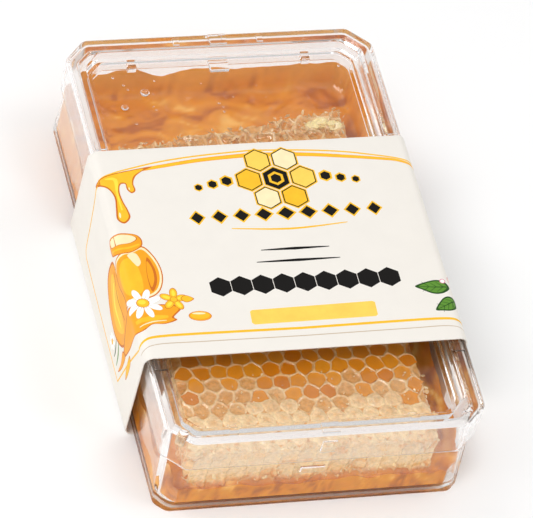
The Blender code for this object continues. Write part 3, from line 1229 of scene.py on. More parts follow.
@dataclass
class SleevePrint:
    """Flat shapes of ink, laid out in millimetres on the label and wrapped onto the card.

    A place is the distance to the right of the label's middle, measured along the card, and the distance
    towards the pack's back. Later shapes lie over earlier ones.
    """

    sleeve: Sleeve
    layer_step: float = 0.0012 * MM
    ink_thick: float = 0.02 * MM

    def __post_init__(self) -> None:
        """Start with no shapes."""
        self.shapes: dict[Ink, list[tuple[int, list[Spot]]]] = {}
        self.laid: list[tuple[int, tuple[float, float, float, float]]] = []

    def add(self, ink: Ink, outline: Sequence[Spot]) -> None:
        """Lay a shape one layer over the highest of the shapes that it may overlap.

        Args:
            ink: Its ink.
            outline: Its corners in order.
        """
        across, along = zip(*outline)
        left, right, front, back = min(across), max(across), min(along), max(along)
        below = [
            layer for layer, (west, east, south, north) in self.laid
            if left < east and west < right and front < north and south < back
        ]
        layer = 1 + max(below, default=0)
        self.laid.append((layer, (left, right, front, back)))
        self.shapes.setdefault(ink, []).append((layer, list(outline)))

    def outlined(self, line: Ink, fill: Ink, outline: Sequence[Spot], share: float) -> None:
        """Lay a shape with a rim of another ink."""
        self.add(line, outline)
        self.add(fill, grown(outline, share))

    def borders(self) -> None:
        """Gold and taupe lines along the sleeve's edges, and the panel line on each side."""
        for side in (-1, 1):
            back = [
                (side * 46.5, 20.6), (side * 42, 22.4), (side * 37, 23.7), (side * 27, 25.8),
                (side * 15, 27.2), (0, 28.1),
            ]
            self.add(Ink.GOLD, stroke(back, (0.45, 0.5, 0.55)))
            thick = [
                (side * 47.2, 19.2), (side * 42, 21.6), (side * 37, 22.6), (side * 27.7, 24.0),
                (side * 15, 25.6), (0, 26.5),
            ]
            self.add(Ink.AMBER, stroke(thick, (0.7, 1.1, 1.5)))
            self.add(Ink.GOLD, stroke(thick, (0.4, 0.7, 0.9)))
            front = [(0, -36.3), (side * 30, -36.0), (side * 41, -36.1), (side * 45, -36.8)]
            front.append((side * 48.5, -38.4))
            self.add(Ink.GOLD, stroke(front, (0.85, 0.85, 0.6)))
            brown = [(0, -39.0), (side * 30, -38.8), (side * 42, -38.8), (side * 48, -40.6)]
            self.add(Ink.TAUPE, stroke(brown, (0.3, 0.3, 0.2)))
            panel = [
                (side * 47.2, 19.2), (side * 52, 17.8), (side * 62, 16.2), (side * 69.5, 15.2),
                (side * 71.6, 13.2),
            ]
            self.add(Ink.GOLD, stroke(panel, (0.6, 0.55)))
            low = [(side * 71.6, 13.2), (side * 72.2, 0.0), (side * 73.0, -30.0)]
            self.add(Ink.GOLD, stroke(low, (0.55, 0.5)))
            low = [(side * 73.0, -30.0), (side * 60, -34.0), (side * 48.5, -38.4)]
            self.add(Ink.GOLD, stroke(low, (0.5, 0.6)))

    def drip(self) -> None:
        """Honey that drips from the back border at the left."""
        edge = [
            (-48.0, 19.6), (-45.6, 21.0), (-42.0, 22.2), (-37.5, 23.1), (-30.0, 24.2), (-33.2, 22.6),
            (-35.5, 20.8), (-36.6, 18.4), (-36.5, 15.9), (-37.8, 14.9), (-38.9, 16.3), (-39.0, 18.3),
            (-40.4, 18.2), (-41.2, 15.6), (-40.9, 12.0), (-40.2, 8.9), (-40.1, 6.2), (-42.2, 4.2),
            (-44.0, 5.8), (-43.6, 9.4), (-43.1, 13.6), (-44.1, 16.6), (-46.1, 18.4),
        ]
        self.add(Ink.RUST, smooth_loop(edge))
        inner = [
            (-47.0, 19.8), (-45.2, 20.8), (-42.0, 21.9), (-37.5, 22.8), (-32.5, 23.5), (-35.8, 21.2),
            (-36.95, 18.6), (-36.9, 16.1), (-37.8, 15.4), (-38.5, 16.5), (-38.8, 18.7), (-40.6, 18.6),
            (-41.6, 15.6), (-41.3, 12.0), (-40.6, 8.9), (-40.6, 6.4), (-42.2, 4.8), (-43.5, 6.0),
            (-43.1, 9.4), (-42.6, 13.6), (-43.8, 17.0), (-46.0, 18.9),
        ]
        self.add(Ink.GOLD, smooth_loop(inner))
        glow = [(-44.5, 20.4), (-41.6, 20.0), (-42.0, 15.0), (-41.9, 9.0)]
        self.add(Ink.LEMON, stroke(glow, (0.3, 1.3, 0.6, 0.5)))
        self.add(Ink.CREAM, oval((-42.9, 7.2), 0.28, 1.0, -6))
        self.add(Ink.CREAM, oval((-38.2, 16.6), 0.16, 0.5, 0))

    def jar(self) -> None:
        """Round honey jar with a run of honey beside it, bent over the sleeve's left edge."""
        body = [
            (-46.4, -6.2), (-42.3, -5.4), (-39.0, -4.2), (-36.7, -7.4), (-35.4, -12.0), (-35.7, -16.6),
            (-37.6, -20.6), (-41.0, -22.6), (-47.0, -23.2), (-52.0, -23.0), (-53.2, -16.0), (-51.0, -9.6),
        ]
        self.outlined(Ink.RUST, Ink.CREAM, smooth_loop(body), 0.955)
        self.add(Ink.AMBER, smooth_loop(grown(body, 0.88)))
        glow = [(-46.6, -9.4), (-43.2, -8.4), (-41.6, -13.0), (-42.2, -20.0), (-46.4, -20.6), (-48.2, -15.0)]
        self.add(Ink.GOLD, smooth_loop(glow))
        band = [(-38.6, -8.2), (-37.2, -12.4), (-37.5, -17.0), (-39.6, -20.4), (-39.9, -14.6)]
        self.add(Ink.RUST, smooth_loop(band))
        band = [(-38.9, -9.6), (-37.9, -12.6), (-38.2, -16.4), (-39.5, -18.8), (-39.7, -14.4)]
        self.add(Ink.AMBER, smooth_loop(band))
        shine = [(-43.9, -7.0), (-41.5, -6.6), (-40.6, -9.6), (-41.8, -11.2), (-43.2, -9.0)]
        self.add(Ink.CREAM, smooth_loop(shine))
        neck = [
            (-49.0, 0.0), (-45.8, 0.7), (-42.6, 0.7), (-39.6, -0.2), (-38.6, -2.4), (-39.6, -4.6),
            (-44.0, -6.4), (-49.4, -4.6),
        ]
        self.outlined(Ink.RUST, Ink.AMBER, smooth_loop(neck), 0.93)
        lid = [
            (-48.6, -0.1), (-45.7, 0.4), (-42.7, 0.3), (-40.3, -0.6), (-40.2, -1.9), (-43.2, -3.1),
            (-48.2, -2.6),
        ]
        self.outlined(Ink.RUST, Ink.CREAM, smooth_loop(lid), 0.93)
        self.add(Ink.GOLD, stroke([(-48.8, -3.6), (-44.0, -4.6), (-39.6, -3.4)], (0.5, 0.7, 0.5)))
        run = [
            (-50.0, -6.0), (-54.0, -4.2), (-58.5, -5.2), (-62.0, -9.0), (-64.4, -14.6), (-64.8, -21.0),
            (-61.4, -27.2), (-56.0, -28.8), (-51.0, -26.6), (-48.4, -21.0), (-50.4, -13.6),
        ]
        self.outlined(Ink.RUST, Ink.AMBER, smooth_loop(run), 0.94)
        glow = [(-53.0, -8.0), (-57.0, -8.4), (-61.0, -14.6), (-61.6, -20.6), (-57.0, -25.4), (-54.2, -20.0)]
        self.add(Ink.GOLD, smooth_loop(glow))
        self.add(Ink.LEMON, stroke([(-54.6, -9.6), (-58.4, -15.0), (-58.0, -23.0)], (0.5, 1.4, 0.4)))
        self.add(Ink.RUST, stroke([(-51.6, -8.0), (-54.4, -15.0), (-53.4, -24.0)], (0.3, 0.6, 0.3)))

    def blossoms(self) -> None:
        """Puddle, daisy, yellow blossom and drop at the left front corner."""
        puddle = [
            (-49.0, -24.0), (-44.0, -25.6), (-38.0, -25.0), (-32.6, -26.4), (-35.4, -29.6), (-34.8, -30.8),
            (-38.4, -31.9), (-42.0, -31.8), (-45.4, -33.8), (-50.0, -33.0), (-56.0, -32.4), (-62.0, -30.0),
            (-58.0, -27.0),
        ]
        self.outlined(Ink.RUST, Ink.AMBER, smooth_loop(puddle), 0.93)
        self.add(Ink.GOLD, stroke([(-46.6, -30.4), (-41.0, -29.6), (-37.0, -29.4)], (1.2, 1.8, 0.7)))
        self.add(Ink.CREAM, stroke([(-45.8, -32.2), (-41.8, -30.9), (-37.8, -30.7)], (0.25, 0.4, 0.2)))
        for turn in range(5):
            angle = math.radians(72 * turn + 10)
            middle = (-34.2 + 2.2 * math.cos(angle), -23.6 + 2.2 * math.sin(angle))
            self.outlined(Ink.RUST, Ink.GOLD, oval(middle, 1.9, 1.15, 72 * turn + 10), 0.88)
            self.add(Ink.LEMON, oval(middle, 1.1, 0.5, 72 * turn + 10))
        self.outlined(Ink.RUST, Ink.GOLD, oval((-34.2, -23.6), 1.1, 1.0), 0.85)
        petal = [(-32.2, -23.4), (-30.6, -22.4), (-28.4, -23.8), (-30.8, -24.9)]
        self.outlined(Ink.RUST, Ink.GOLD, smooth_loop(petal), 0.87)
        for turn in range(8):
            lean = 45 * turn + 20
            angle = math.radians(lean)
            middle = (-43.2 + 3.5 * math.cos(angle), -24.4 + 3.1 * math.sin(angle))
            self.outlined(Ink.SHADE, Ink.WHITE, oval(middle, 2.25, 1.02, lean), 0.93)
            root = (-43.2 + 1.6 * math.cos(angle), -24.4 + 1.4 * math.sin(angle))
            self.add(Ink.SHADE, stroke([root, middle], (0.25, 0.08)))
        self.outlined(Ink.RUST, Ink.GOLD, oval((-43.2, -24.2), 1.9, 1.6), 0.9)
        self.add(Ink.LEMON, oval((-43.4, -23.9), 1.1, 0.8))
        self.outlined(Ink.RUST, Ink.AMBER, oval((-28.0, -29.9), 3.3, 1.75, -3), 0.94)
        self.add(Ink.GOLD, oval((-28.0, -29.7), 2.7, 1.25, -3))
        self.add(Ink.CREAM, oval((-28.2, -29.0), 1.9, 0.35, -4))

    def side_sprigs(self) -> None:
        """Small daisy, stems and drops on the sleeve's left side."""
        for turn in range(7):
            angle = math.radians(51.4 * turn)
            middle = (-68.4 + 1.5 * math.cos(angle), -19.4 + 1.6 * math.sin(angle))
            self.outlined(Ink.SHADE, Ink.WHITE, oval(middle, 1.25, 0.62, 51.4 * turn), 0.9)
        self.outlined(Ink.RUST, Ink.GOLD, oval((-68.4, -19.4), 0.85, 0.85), 0.85)
        self.add(Ink.LEAF, stroke([(-63.6, -23.8), (-66.6, -25.6), (-70.4, -26.4)], (0.5, 0.9, 0.3)))
        self.add(Ink.FERN, stroke([(-64.6, -21.6), (-68.0, -23.2), (-70.2, -23.4)], (0.3, 0.7, 0.2)))
        drop = [(-57.4, -33.2), (-58.4, -35.2), (-62.0, -35.6), (-66.0, -35.0), (-63.0, -33.4)]
        self.outlined(Ink.RUST, Ink.GOLD, smooth_loop(drop), 0.88)
        smear = [(-62.0, -28.0), (-66.0, -29.0), (-70.4, -28.6), (-66.4, -30.6), (-61.0, -30.8)]
        self.outlined(Ink.RUST, Ink.AMBER, smooth_loop(smear), 0.88)

    def leaves(self) -> None:
        """Three leaves and two buds at the right, one leaf over the edge."""
        leaves = (
            ((46.0, -25.2), (35.8, -24.2), 3.0),
            ((47.0, -29.6), (39.8, -33.0), 2.9),
            ((48.5, -24.0), (50.5, -16.0), 2.2),
        )
        for base, tip, width in leaves:
            along = Vector((tip[0] - base[0], tip[1] - base[1]))
            out = Vector((-along.y, along.x)).normalized()

            def spot(share: float, side: float) -> Spot:
                """Spot on the leaf, from its base, beside its midrib."""
                place = Vector(base) + along * share + out * side * width
                return place.x, place.y

            upper = [spot(0, 0), spot(0.2, 0.72), spot(0.5, 0.85), spot(0.8, 0.4)]
            edge = upper + [spot(1, 0), spot(0.75, -0.45), spot(0.4, -0.8), spot(0.15, -0.6)]
            self.add(Ink.FERN, smooth_loop(edge))
            self.add(Ink.LEAF, smooth_loop(grown(edge, 0.8)))
            self.add(Ink.FERN, stroke([spot(0, 0), spot(0.5, 0.05), spot(1, 0)], (0.45, 0.25, 0.1)))
            for share in (0.2, 0.4, 0.6):
                for side in (-0.55, 0.6):
                    self.add(Ink.FERN, stroke([spot(share, 0), spot(share + 0.2, side)], (0.2, 0.1)))
        self.outlined(Ink.ROSE, Ink.WHITE, oval((44.2, -23.0), 0.9, 0.8), 0.7)
        self.outlined(Ink.ROSE, Ink.CREAM, oval((47.2, -21.6), 1.3, 0.9, 60), 0.6)

    def ornaments(self) -> None:
        """Plain cluster of comb cells, rules and bars in the middle of the label."""
        radius = 4.6
        centre = (5.0, 17.4)
        fills = (Ink.DARK, Ink.STRAW, Ink.CREAM, Ink.STRAW, Ink.GOLD, Ink.CREAM, Ink.GOLD)
        spots = [centre] + oval(centre, radius * SQRT3, radius * SQRT3, count=6)
        for middle, fill in zip(spots, fills):
            self.add(Ink.GOLD, hexagon(middle, radius * 0.97))
            self.add(Ink.DARK, hexagon(middle, radius * 0.88))
            self.add(fill, hexagon(middle, radius * 0.80))
        self.add(Ink.GOLD, hexagon(centre, radius * 0.55))
        self.add(Ink.DARK, hexagon(centre, radius * 0.36))
        for side in (-1, 1):
            for place in range(3):
                middle = (centre[0] + side * (14.6 + 4.3 * place), 17.4 - 0.9 * place)
                self.outlined(Ink.GOLD, Ink.DARK, hexagon(middle, 2.2 - 0.35 * place), 0.72)
        for place in range(-4, 5):
            width = 3.1 - 0.16 * abs(place)
            x = 5.0 + 6.5 * place
            diamond = [(x - width, 4.7), (x, 7.4), (x + width, 4.7), (x, 2.0)]
            self.outlined(Ink.GOLD, Ink.DARK, diamond, 0.76)
        self.add(Ink.GOLD, stroke([(-12.0, 0.2), (5.0, -1.0), (22.0, 0.2)], (0.3, 0.7, 0.3)))
        for middle, half in (((4.6, -8.1), 10.0), ((4.6, -12.3), 12.2)):
            ends = (middle[0] - half, middle[1]), (middle[0] + half, middle[1])
            self.add(Ink.DARK, stroke([ends[0], middle, ends[1]], (0.25, 1.0, 0.25)))
        for place in range(9):
            self.add(Ink.DARK, hexagon((-19.9 + 6.15 * place, -20.2), 3.45))
        bar = [
            (-12.9, -29.0), (22.2, -28.4), (22.9, -28.9), (22.7, -33.3), (22.0, -33.8), (-13.2, -34.1),
            (-13.9, -33.5), (-13.6, -29.5),
        ]
        self.add(Ink.STRAW, bar)

    def wrapped_mesh(self, shapes: Sequence[tuple[int, list[Spot]]]) -> bmesh.types.BMesh:
        """Cut shapes of one ink out flat, give them their thickness and wrap them onto the card.

        Args:
            shapes: Layer and outline of each shape.

        Returns:
            The wrapped mesh.
        """
        mesh = bmesh.new()
        for layer, outline in shapes:
            face = mesh.faces.new([mesh.verts.new((x, y, 0.0)) for x, y in outline])
            face.normal_update()
            if face.normal.z < 0:
                face.normal_flip()
            ends = bmesh.ops.extrude_face_region(mesh, geom=[face])["geom"]
            for item in ends:
                if isinstance(item, bmesh.types.BMVert):
                    item.co.z = layer
            face.normal_flip()
        flat, bend = self.sleeve.flat / MM, self.sleeve.radius * math.pi / 2 / MM
        steps = self.sleeve.corner_steps
        bmesh.ops.triangulate(mesh, faces=mesh.faces, ngon_method="EAR_CLIP")
        for side in (-1, 1):
            for step in range(steps + 1):
                geometry = mesh.verts[:] + mesh.edges[:] + mesh.faces[:]
                line = Vector((side * (flat + bend * step / steps), 0, 0))
                bmesh.ops.bisect_plane(
                    mesh, geom=geometry, dist=0.0001, plane_co=line, plane_no=Vector((1, 0, 0))
                )
        for vert in mesh.verts:
            lift = vert.co.z * self.layer_step if vert.co.z > 0 else -self.ink_thick
            vert.co = self.sleeve.placed(vert.co.x * MM, vert.co.y * MM, lift)
        bmesh.ops.recalc_face_normals(mesh, faces=mesh.faces)
        return mesh

    def build(self, effects: SharedEffects) -> None:
        """Lay out every shape and make one piece for each ink.

        Args:
            effects: The shared node groups.
        """
        self.borders()
        self.drip()
        self.jar()
        self.blossoms()
        self.side_sprigs()
        self.leaves()
        self.ornaments()
        log.info("print: %d layers at most", max(layer for layer, _ in self.laid))
        for ink, shapes in self.shapes.items():
            name, colour = ink.value
            piece = object_from(self.wrapped_mesh(shapes), f"ink_{name}", 30.0)
            finish = Finish(
                f"ink_{name}", colour, (0.38, 0.5), gloss_wave=6 * MM, drift=0.05, drift_wave=3 * MM,
                settings={"Specular IOR Level": 0.2},
            )
            settle(piece, finish.build(effects), Slot.PAPER)


# --- the contents ----------------------------------------------------------------------------------------
class Wax(Enum):
    """Colours of the wax, from the palest to the deepest."""

    CREAM = srgb(244, 214, 164)
    PALE = srgb(233, 196, 146)
    ROSY = srgb(226, 174, 112)
    TAN = srgb(214, 152, 76)
    SOAKED = srgb(222, 144, 36)
    GAP = srgb(200, 116, 14)


class Honey(Enum):
    """Colours of the honey, from thin film to deep pool."""

    THIN = srgb(244, 186, 92)
    CLEAR = srgb(230, 150, 28)
    AMBER = srgb(212, 122, 4)
    DEEP = srgb(172, 88, 0)


class CellKind(Enum):
    """How a cell of the comb ends at the top."""

    CAPPED = "closed with a pale domed cap"
    SUNKEN = "closed with a thin cap that honey shows through"
    FILLED = "open and full of honey"
    TORN = "torn open, with its wall standing up"


@dataclass(frozen=True)
class CellLook:
    """Relief and colours of one kind of cell, from its wall inwards.

    Each step gives how far it lies inside the last one, how far above it, and its colour.
    """

    steps: tuple[tuple[float, float, Colour], ...]
    middle_rise: float
    middle: Colour


CELL_LOOKS = {
    CellKind.CAPPED: CellLook(
        ((0.24 * MM, 0.14 * MM, Wax.CREAM.value), (0.42 * MM, 0.16 * MM, Wax.PALE.value),
         (0.70 * MM, 0.08 * MM, Wax.PALE.value)),
        0.05 * MM, Wax.ROSY.value,
    ),
    CellKind.SUNKEN: CellLook(
        ((0.20 * MM, -0.02 * MM, Wax.PALE.value), (0.30 * MM, -0.28 * MM, Wax.TAN.value),
         (0.80 * MM, -0.10 * MM, Wax.TAN.value)),
        -0.05 * MM, Wax.SOAKED.value,
    ),
    CellKind.FILLED: CellLook(
        ((0.20 * MM, 0.02 * MM, Wax.PALE.value), (0.20 * MM, -0.70 * MM, Wax.SOAKED.value),
         (0.90 * MM, -0.30 * MM, Wax.GAP.value)),
        -0.05 * MM, Wax.GAP.value,
    ),
    CellKind.TORN: CellLook(
        ((0.16 * MM, 0.10 * MM, Wax.CREAM.value), (0.22 * MM, -0.90 * MM, Wax.ROSY.value),
         (0.80 * MM, -0.25 * MM, Wax.SOAKED.value)),
        0.15 * MM, Wax.TAN.value,
    ),
}


@dataclass
class Comb:
    """Slab of cut comb: cells on top, fluted cut sides, honey in its open cells, torn wax and crumbs."""

    left: float
    right: float
    front: float
    back_left: float
    back_right: float
    floor: float
    top: float
    window_front: float
    window_back: float
    ceiling: float
    pitch: float = 5.0 * MM
    junction_wobble: float = 0.62 * MM
    wall_wobble: float = 0.36 * MM
    flute: float = 0.55 * MM
    side_rows: int = 13
    seen_front: float = 11 * MM
    seen_back: float = 12 * MM
    seed: int = 7

    @classmethod
    def from_frame(cls) -> "Comb":
        """Read the slab's outline from the frame.

        Returns:
            The comb.
        """
        low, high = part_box("honeycomb_block")
        sleeve_low, sleeve_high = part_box("paper_sleeve")
        rough, slant = 0.8 * MM, 10.7 * MM
        back_right = high.y
        return cls(
            low.x + rough, high.x - rough, low.y, back_right - slant, back_right, low.z, high.z - rough / 2,
            sleeve_low.y, sleeve_high.y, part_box("box_lid")[0].z + 5.4 * MM,
        )

    def __post_init__(self) -> None:
        """Start the comb's own stream of chance, and its list of open cells."""
        self.chance = random.Random(self.seed)
        self.open_cells: list[list[Vector]] = []

    def planes(self) -> list[tuple[Vector, Vector]]:
        """A point and the outward direction of each cut side.

        Returns:
            One pair for each of the four sides.
        """
        corners = [
            Vector((self.left, self.front, 0)),
            Vector((self.right, self.front, 0)),
            Vector((self.right, self.back_right, 0)),
            Vector((self.left, self.back_left, 0)),
        ]
        made = []
        for start, end in zip(corners, corners[1:] + corners[:1]):
            along = (end - start).normalized()
            made.append((start, Vector((along.y, -along.x, 0))))
        return made

    def inside(self, place: Vector) -> float:
        """How far a place lies inside the slab's outline; negative outside it."""
        return min((start - place).dot(out) for start, out in self.planes())

    def tornness(self, along: float) -> float:
        """How crushed the top is there, from 0 in front to 1 behind the sleeve."""
        return eased(along, self.window_back - 12 * MM, self.window_back + 1 * MM)

    def darkening_to_sleeve(self, place: Vector) -> float:
        """How far the top darkens towards the sleeve there, from 0 at the slab's front edge to 1 by the
        sleeve; nearer the sleeve the wax is darker and more cells are open and full of honey.
        """
        slope = eased(place.y, self.front + 3 * MM, self.window_front + 1 * MM)
        return slope + 0.35 * ripple(place, 14 * MM, 4.0)

    def kind_at(self, place: Vector) -> CellKind:
        """Choose how the cell at a place ends.

        Args:
            place: The cell's middle.

        Returns:
            The kind.
        """
        draw = self.chance.random()
        if self.tornness(place.y) > 0.5:
            return CellKind.TORN if draw < 0.75 else CellKind.SUNKEN
        darkening = self.darkening_to_sleeve(place) + 0.55 * (draw - 0.5)
        if darkening > 0.66:
            return CellKind.FILLED
        if darkening > 0.34:
            return CellKind.SUNKEN
        return CellKind.CAPPED

    def lattice(self) -> bmesh.types.BMesh:
        """Sheet of wobbly six-sided cells that covers the slab, each wall with a point in its middle.

        Returns:
            The sheet.
        """
        mesh = bmesh.new()
        radius = self.pitch / SQRT3
        rows = math.ceil((self.back_right - self.front) / (1.5 * radius)) + 3
        columns = math.ceil((self.right - self.left) / self.pitch) + 3
        for row in range(rows):
            for column in range(columns):
                x = self.left + (column - 1 + 0.5 * (row % 2)) * self.pitch
                y = self.front + (row - 1) * 1.5 * radius
                place = Matrix.Translation((x, y, self.top))
                bmesh.ops.create_circle(mesh, cap_ends=True, segments=6, radius=radius, matrix=place)
        bmesh.ops.remove_doubles(mesh, verts=mesh.verts, dist=radius / 20)
        bmesh.ops.bisect_edges(mesh, edges=mesh.edges, cuts=1)
        for vert in mesh.verts:
            reach = self.junction_wobble if len(vert.link_edges) > 2 else self.wall_wobble
            reach *= 1.0 + 0.6 * self.tornness(vert.co.y)
            vert.co.x += self.chance.uniform(-reach, reach)
            vert.co.y += self.chance.uniform(-reach, reach)
        return mesh

    def raise_walls(self, mesh: bmesh.types.BMesh, tint: Any, crest: Any) -> None:
        """Set the height and colour of the walls between the cells.

        Args:
            mesh: The sheet of cells.
            tint: Its colour layer.
            crest: Its layer that marks the walls.
        """
        for vert in mesh.verts:
            torn = self.tornness(vert.co.y)
            darkening = self.darkening_to_sleeve(vert.co)
            junction = len(vert.link_edges) > 2
            swell = 0.7 * MM * ripple(vert.co, 19 * MM, 2.0)
            if torn > 0.5:
                peak = self.chance.random() ** 2.2
                swell += torn * (peak * (2.3 if junction else 1.5) - 0.4) * MM
                shade = mixed(Wax.CREAM.value, Wax.TAN.value, self.chance.random() * 0.9)
            elif junction and darkening < 0.55 and self.chance.random() < 0.75:
                swell -= self.chance.uniform(0.35, 0.8) * MM
                shade = mixed(Wax.GAP.value, Wax.SOAKED.value, self.chance.random())
            else:
                swell += self.chance.uniform(-0.12, 0.15) * MM
                # The walls darken from cream towards rose the nearer they lie to the sleeve.
                shade = mixed(Wax.CREAM.value, Wax.ROSY.value, 0.85 * darkening + self.chance.uniform(-0.1, 0.2))
            vert.co.z += swell
            vert[tint] = (*shade, 1.0)
            vert[crest] = 1.0

    def dress_cells(self, mesh: bmesh.types.BMesh, tint: Any, crest: Any) -> None:
        """Step every cell down or up from its walls, and note the open ones.

        Cells further under the sleeve than anyone can see stay plain.

        Args:
            mesh: The sheet of cells.
            tint: Its colour layer.
            crest: Its layer that marks the walls.
        """
        for face in list(mesh.faces):
            middle = face.calc_center_median()
            kind = self.kind_at(middle)
            look = CELL_LOOKS[kind]
            darkening = self.darkening_to_sleeve(middle)
            # Cells darken towards tan the nearer they lie to the sleeve.
            hue = self.chance.uniform(-0.4, 0.4) + 0.6 * (darkening - 0.4)
            scale = self.chance.uniform(0.7, 1.3)
            if self.window_front + self.seen_front < middle.y < self.window_back - self.seen_back:
                for vert in bmesh.ops.poke(mesh, faces=[face])["verts"]:
                    vert.co.z -= self.pitch / 8
                    vert[tint] = (*look.middle, 1.0)
                continue
            for level, (reach, rise, shade) in enumerate(look.steps):
                bmesh.ops.inset_individual(mesh, faces=[face], thickness=reach, depth=rise * scale)
                shade = mixed(shade, Wax.TAN.value if hue > 0 else Wax.CREAM.value, abs(hue))
                for vert in face.verts:
                    vert[tint] = (*shade, 1.0)
                    vert[crest] = 0.7 if level == 0 else 0.0
                if level == 0 and kind is CellKind.FILLED and self.inside(middle) > 2.2 * MM:
                    self.open_cells.append([vert.co.copy() for vert in face.verts])
            centre = bmesh.ops.poke(mesh, faces=[face])["verts"][0]
            centre.co.z += look.middle_rise * scale + self.chance.uniform(-0.1, 0.1) * MM
            centre[tint] = (*mixed(look.middle, Wax.CREAM.value, self.chance.uniform(0.0, 0.35)), 1.0)
            centre[crest] = 0.0

    def outward(self, place: Vector) -> Vector:
        """Outward direction of the cut side or corner that a place lies on."""
        near = [out for start, out in self.planes() if abs((start - place).dot(out)) < 0.05 * MM]
        return sum(near, Vector()).normalized() if near else Vector()

    def drop_sides(self, mesh: bmesh.types.BMesh, crest: Any) -> None:
        """Cut the sheet to the slab's outline and carry its edge down to the floor in flutes.

        Args:
            mesh: The sheet of cells.
            crest: Its layer that marks the walls.
        """
        for start, out in self.planes():
            geometry = mesh.verts[:] + mesh.edges[:] + mesh.faces[:]
            bmesh.ops.bisect_plane(
                mesh, geom=geometry, dist=0.001 * MM, plane_co=start, plane_no=out, clear_outer=True
            )
        bmesh.ops.remove_doubles(mesh, verts=mesh.verts, dist=0.12 * MM)
        home = mesh.verts.layers.float_vector.new("home")
        rim = [edge for edge in mesh.edges if edge.is_boundary]
        for vert in {vert for edge in rim for vert in edge.verts}:
            vert[home] = vert.co
        for row in range(1, self.side_rows + 1):
            grown = bmesh.ops.extrude_edge_only(mesh, edges=rim)["geom"]
            share = row / self.side_rows
            for item in grown:
                if isinstance(item, bmesh.types.BMVert):
                    base = Vector(item[home])
                    depth = self.flute * (1.0 - item[crest]) * min(1.0, row / 2)
                    height = base.z + (self.floor - base.z) * share
                    item.co = base - self.outward(base) * depth
                    item.co.z = height
            rim = [edge for edge in mesh.edges if edge.is_boundary]
        bmesh.ops.recalc_face_normals(mesh, faces=mesh.faces)
        if sum(face.normal.z for face in mesh.faces) < 0:
            bmesh.ops.reverse_faces(mesh, faces=mesh.faces)

    @staticmethod
    def close_underside(piece: bpy.types.Object) -> None:
        """Close the slab's open underside.

        Args:
            piece: The slab.
        """
        mesh = bmesh.new()
        mesh.from_mesh(piece.data)
        bmesh.ops.edgeloop_fill(mesh, edges=[edge for edge in mesh.edges if edge.is_boundary])
        mesh.to_mesh(piece.data)
        mesh.free()

    def side_look(self, place: Vector) -> tuple[float, Colour]:
        """Bulge and colour of the cut side at a place.

        Args:
            place: Point on the side.

        Returns:
            How far the surface stands out there, in metres, and its colour.
        """
        spread = Vector((place.x / (4.2 * MM), place.y / (4.2 * MM), place.z / (3.6 * MM)))
        distances, centres = noise.voronoi(spread)
        seam = eased(distances[1] - distances[0], 0.02, 0.4)
        luck = noise.cell(centres[0] * 7.3)
        line = self.floor + 8.2 * MM + 1.9 * MM * ripple(Vector((place.x, place.y, 0)), 7 * MM, 5.0)
        line += 1.6 * MM * (luck - 0.5)
        above = place.z - line
        if above > 0:
            cream = 0.5 + luck * 0.6 + 0.4 * ripple(place, 2 * MM, 6.0)
            dry = 0.25 + 0.6 * eased(above, 0.0, 3.5 * MM) + 0.35 * (luck - 0.3)
            shade = mixed(Honey.THIN.value, mixed(Wax.CREAM.value, Wax.PALE.value, cream), dry)
        else:
            shade = mixed(Honey.CLEAR.value, Honey.AMBER.value, -above / (4 * MM) + luck * 0.5)
        shade = mixed(shade, Wax.CREAM.value, (1 - seam) * (0.55 if above > -2 * MM else 0.3))
        if luck > 0.55:
            shade = mixed(shade, Honey.CLEAR.value, (1 - seam) * 0.75)
        bulge = (0.35 + 0.45 * luck) * MM * seam
        return bulge + 0.15 * MM * ripple(place, 1.2 * MM, 7.0), shade

    def finish_surface(self, piece: bpy.types.Object) -> None:
        """Roughen the smooth surface and give each vertex its last colour.

        Args:
            piece: The slab.
        """
        data = piece.data
        tints = data.attributes[TINT].data
        normals = [vert.normal.copy() for vert in data.vertices]
        shades: list[Colour] = []
        for vert, normal in zip(data.vertices, normals):
            place = vert.co.copy()
            shade: Colour = tuple(tints[vert.index].color)[:3]
            side = eased(-normal.z, -0.55, -0.25) if place.z < self.top - 0.3 * MM else 0.0
            torn = self.tornness(place.y)
            pale = eased(shade[1], 0.30, 0.55)
            rough = (0.10 + 0.16 * pale) * ripple(place, 1.3 * MM, 8.0)
            rough += 0.12 * pale * ripple(place, 0.6 * MM, 9.0)
            rough += torn * 0.55 * abs(ripple(place, 2.6 * MM, 10.0))
            shift = rough * MM
            if side > 0:
                bulge, side_shade = self.side_look(place)
                shift = shift * (1 - side) + bulge * side
                shade = mixed(shade, side_shade, side)
            drift = ripple(place, 1.7 * MM, 11.0)
            shade = mixed(shade, Wax.CREAM.value if drift > 0 else Wax.SOAKED.value, 0.22 * abs(drift))
            vert.co = place + normal * shift
            vert.co.z = min(vert.co.z, self.ceiling)
            shades.append(shade)
        paint(piece, lambda index, place: shades[index])
        data.update()

    def build_slab(self, finish: bpy.types.Material) -> None:
        """Make the slab itself.

        Args:
            finish: The wax.
        """
        mesh = self.lattice()
        tint = mesh.verts.layers.float_color.new(TINT)
        crest = mesh.verts.layers.float.new("crest")
        self.raise_walls(mesh, tint, crest)
        self.dress_cells(mesh, tint, crest)
        self.drop_sides(mesh, crest)
        slab = object_from(mesh, "comb_slab")
        fine = slab.modifiers.new("soft", "SUBSURF")
        fine.levels = fine.render_levels = 1
        applied(slab)
        self.close_underside(slab)
        self.finish_surface(slab)
        settle(slab, finish, Slot.WAX, "honeycomb_block")

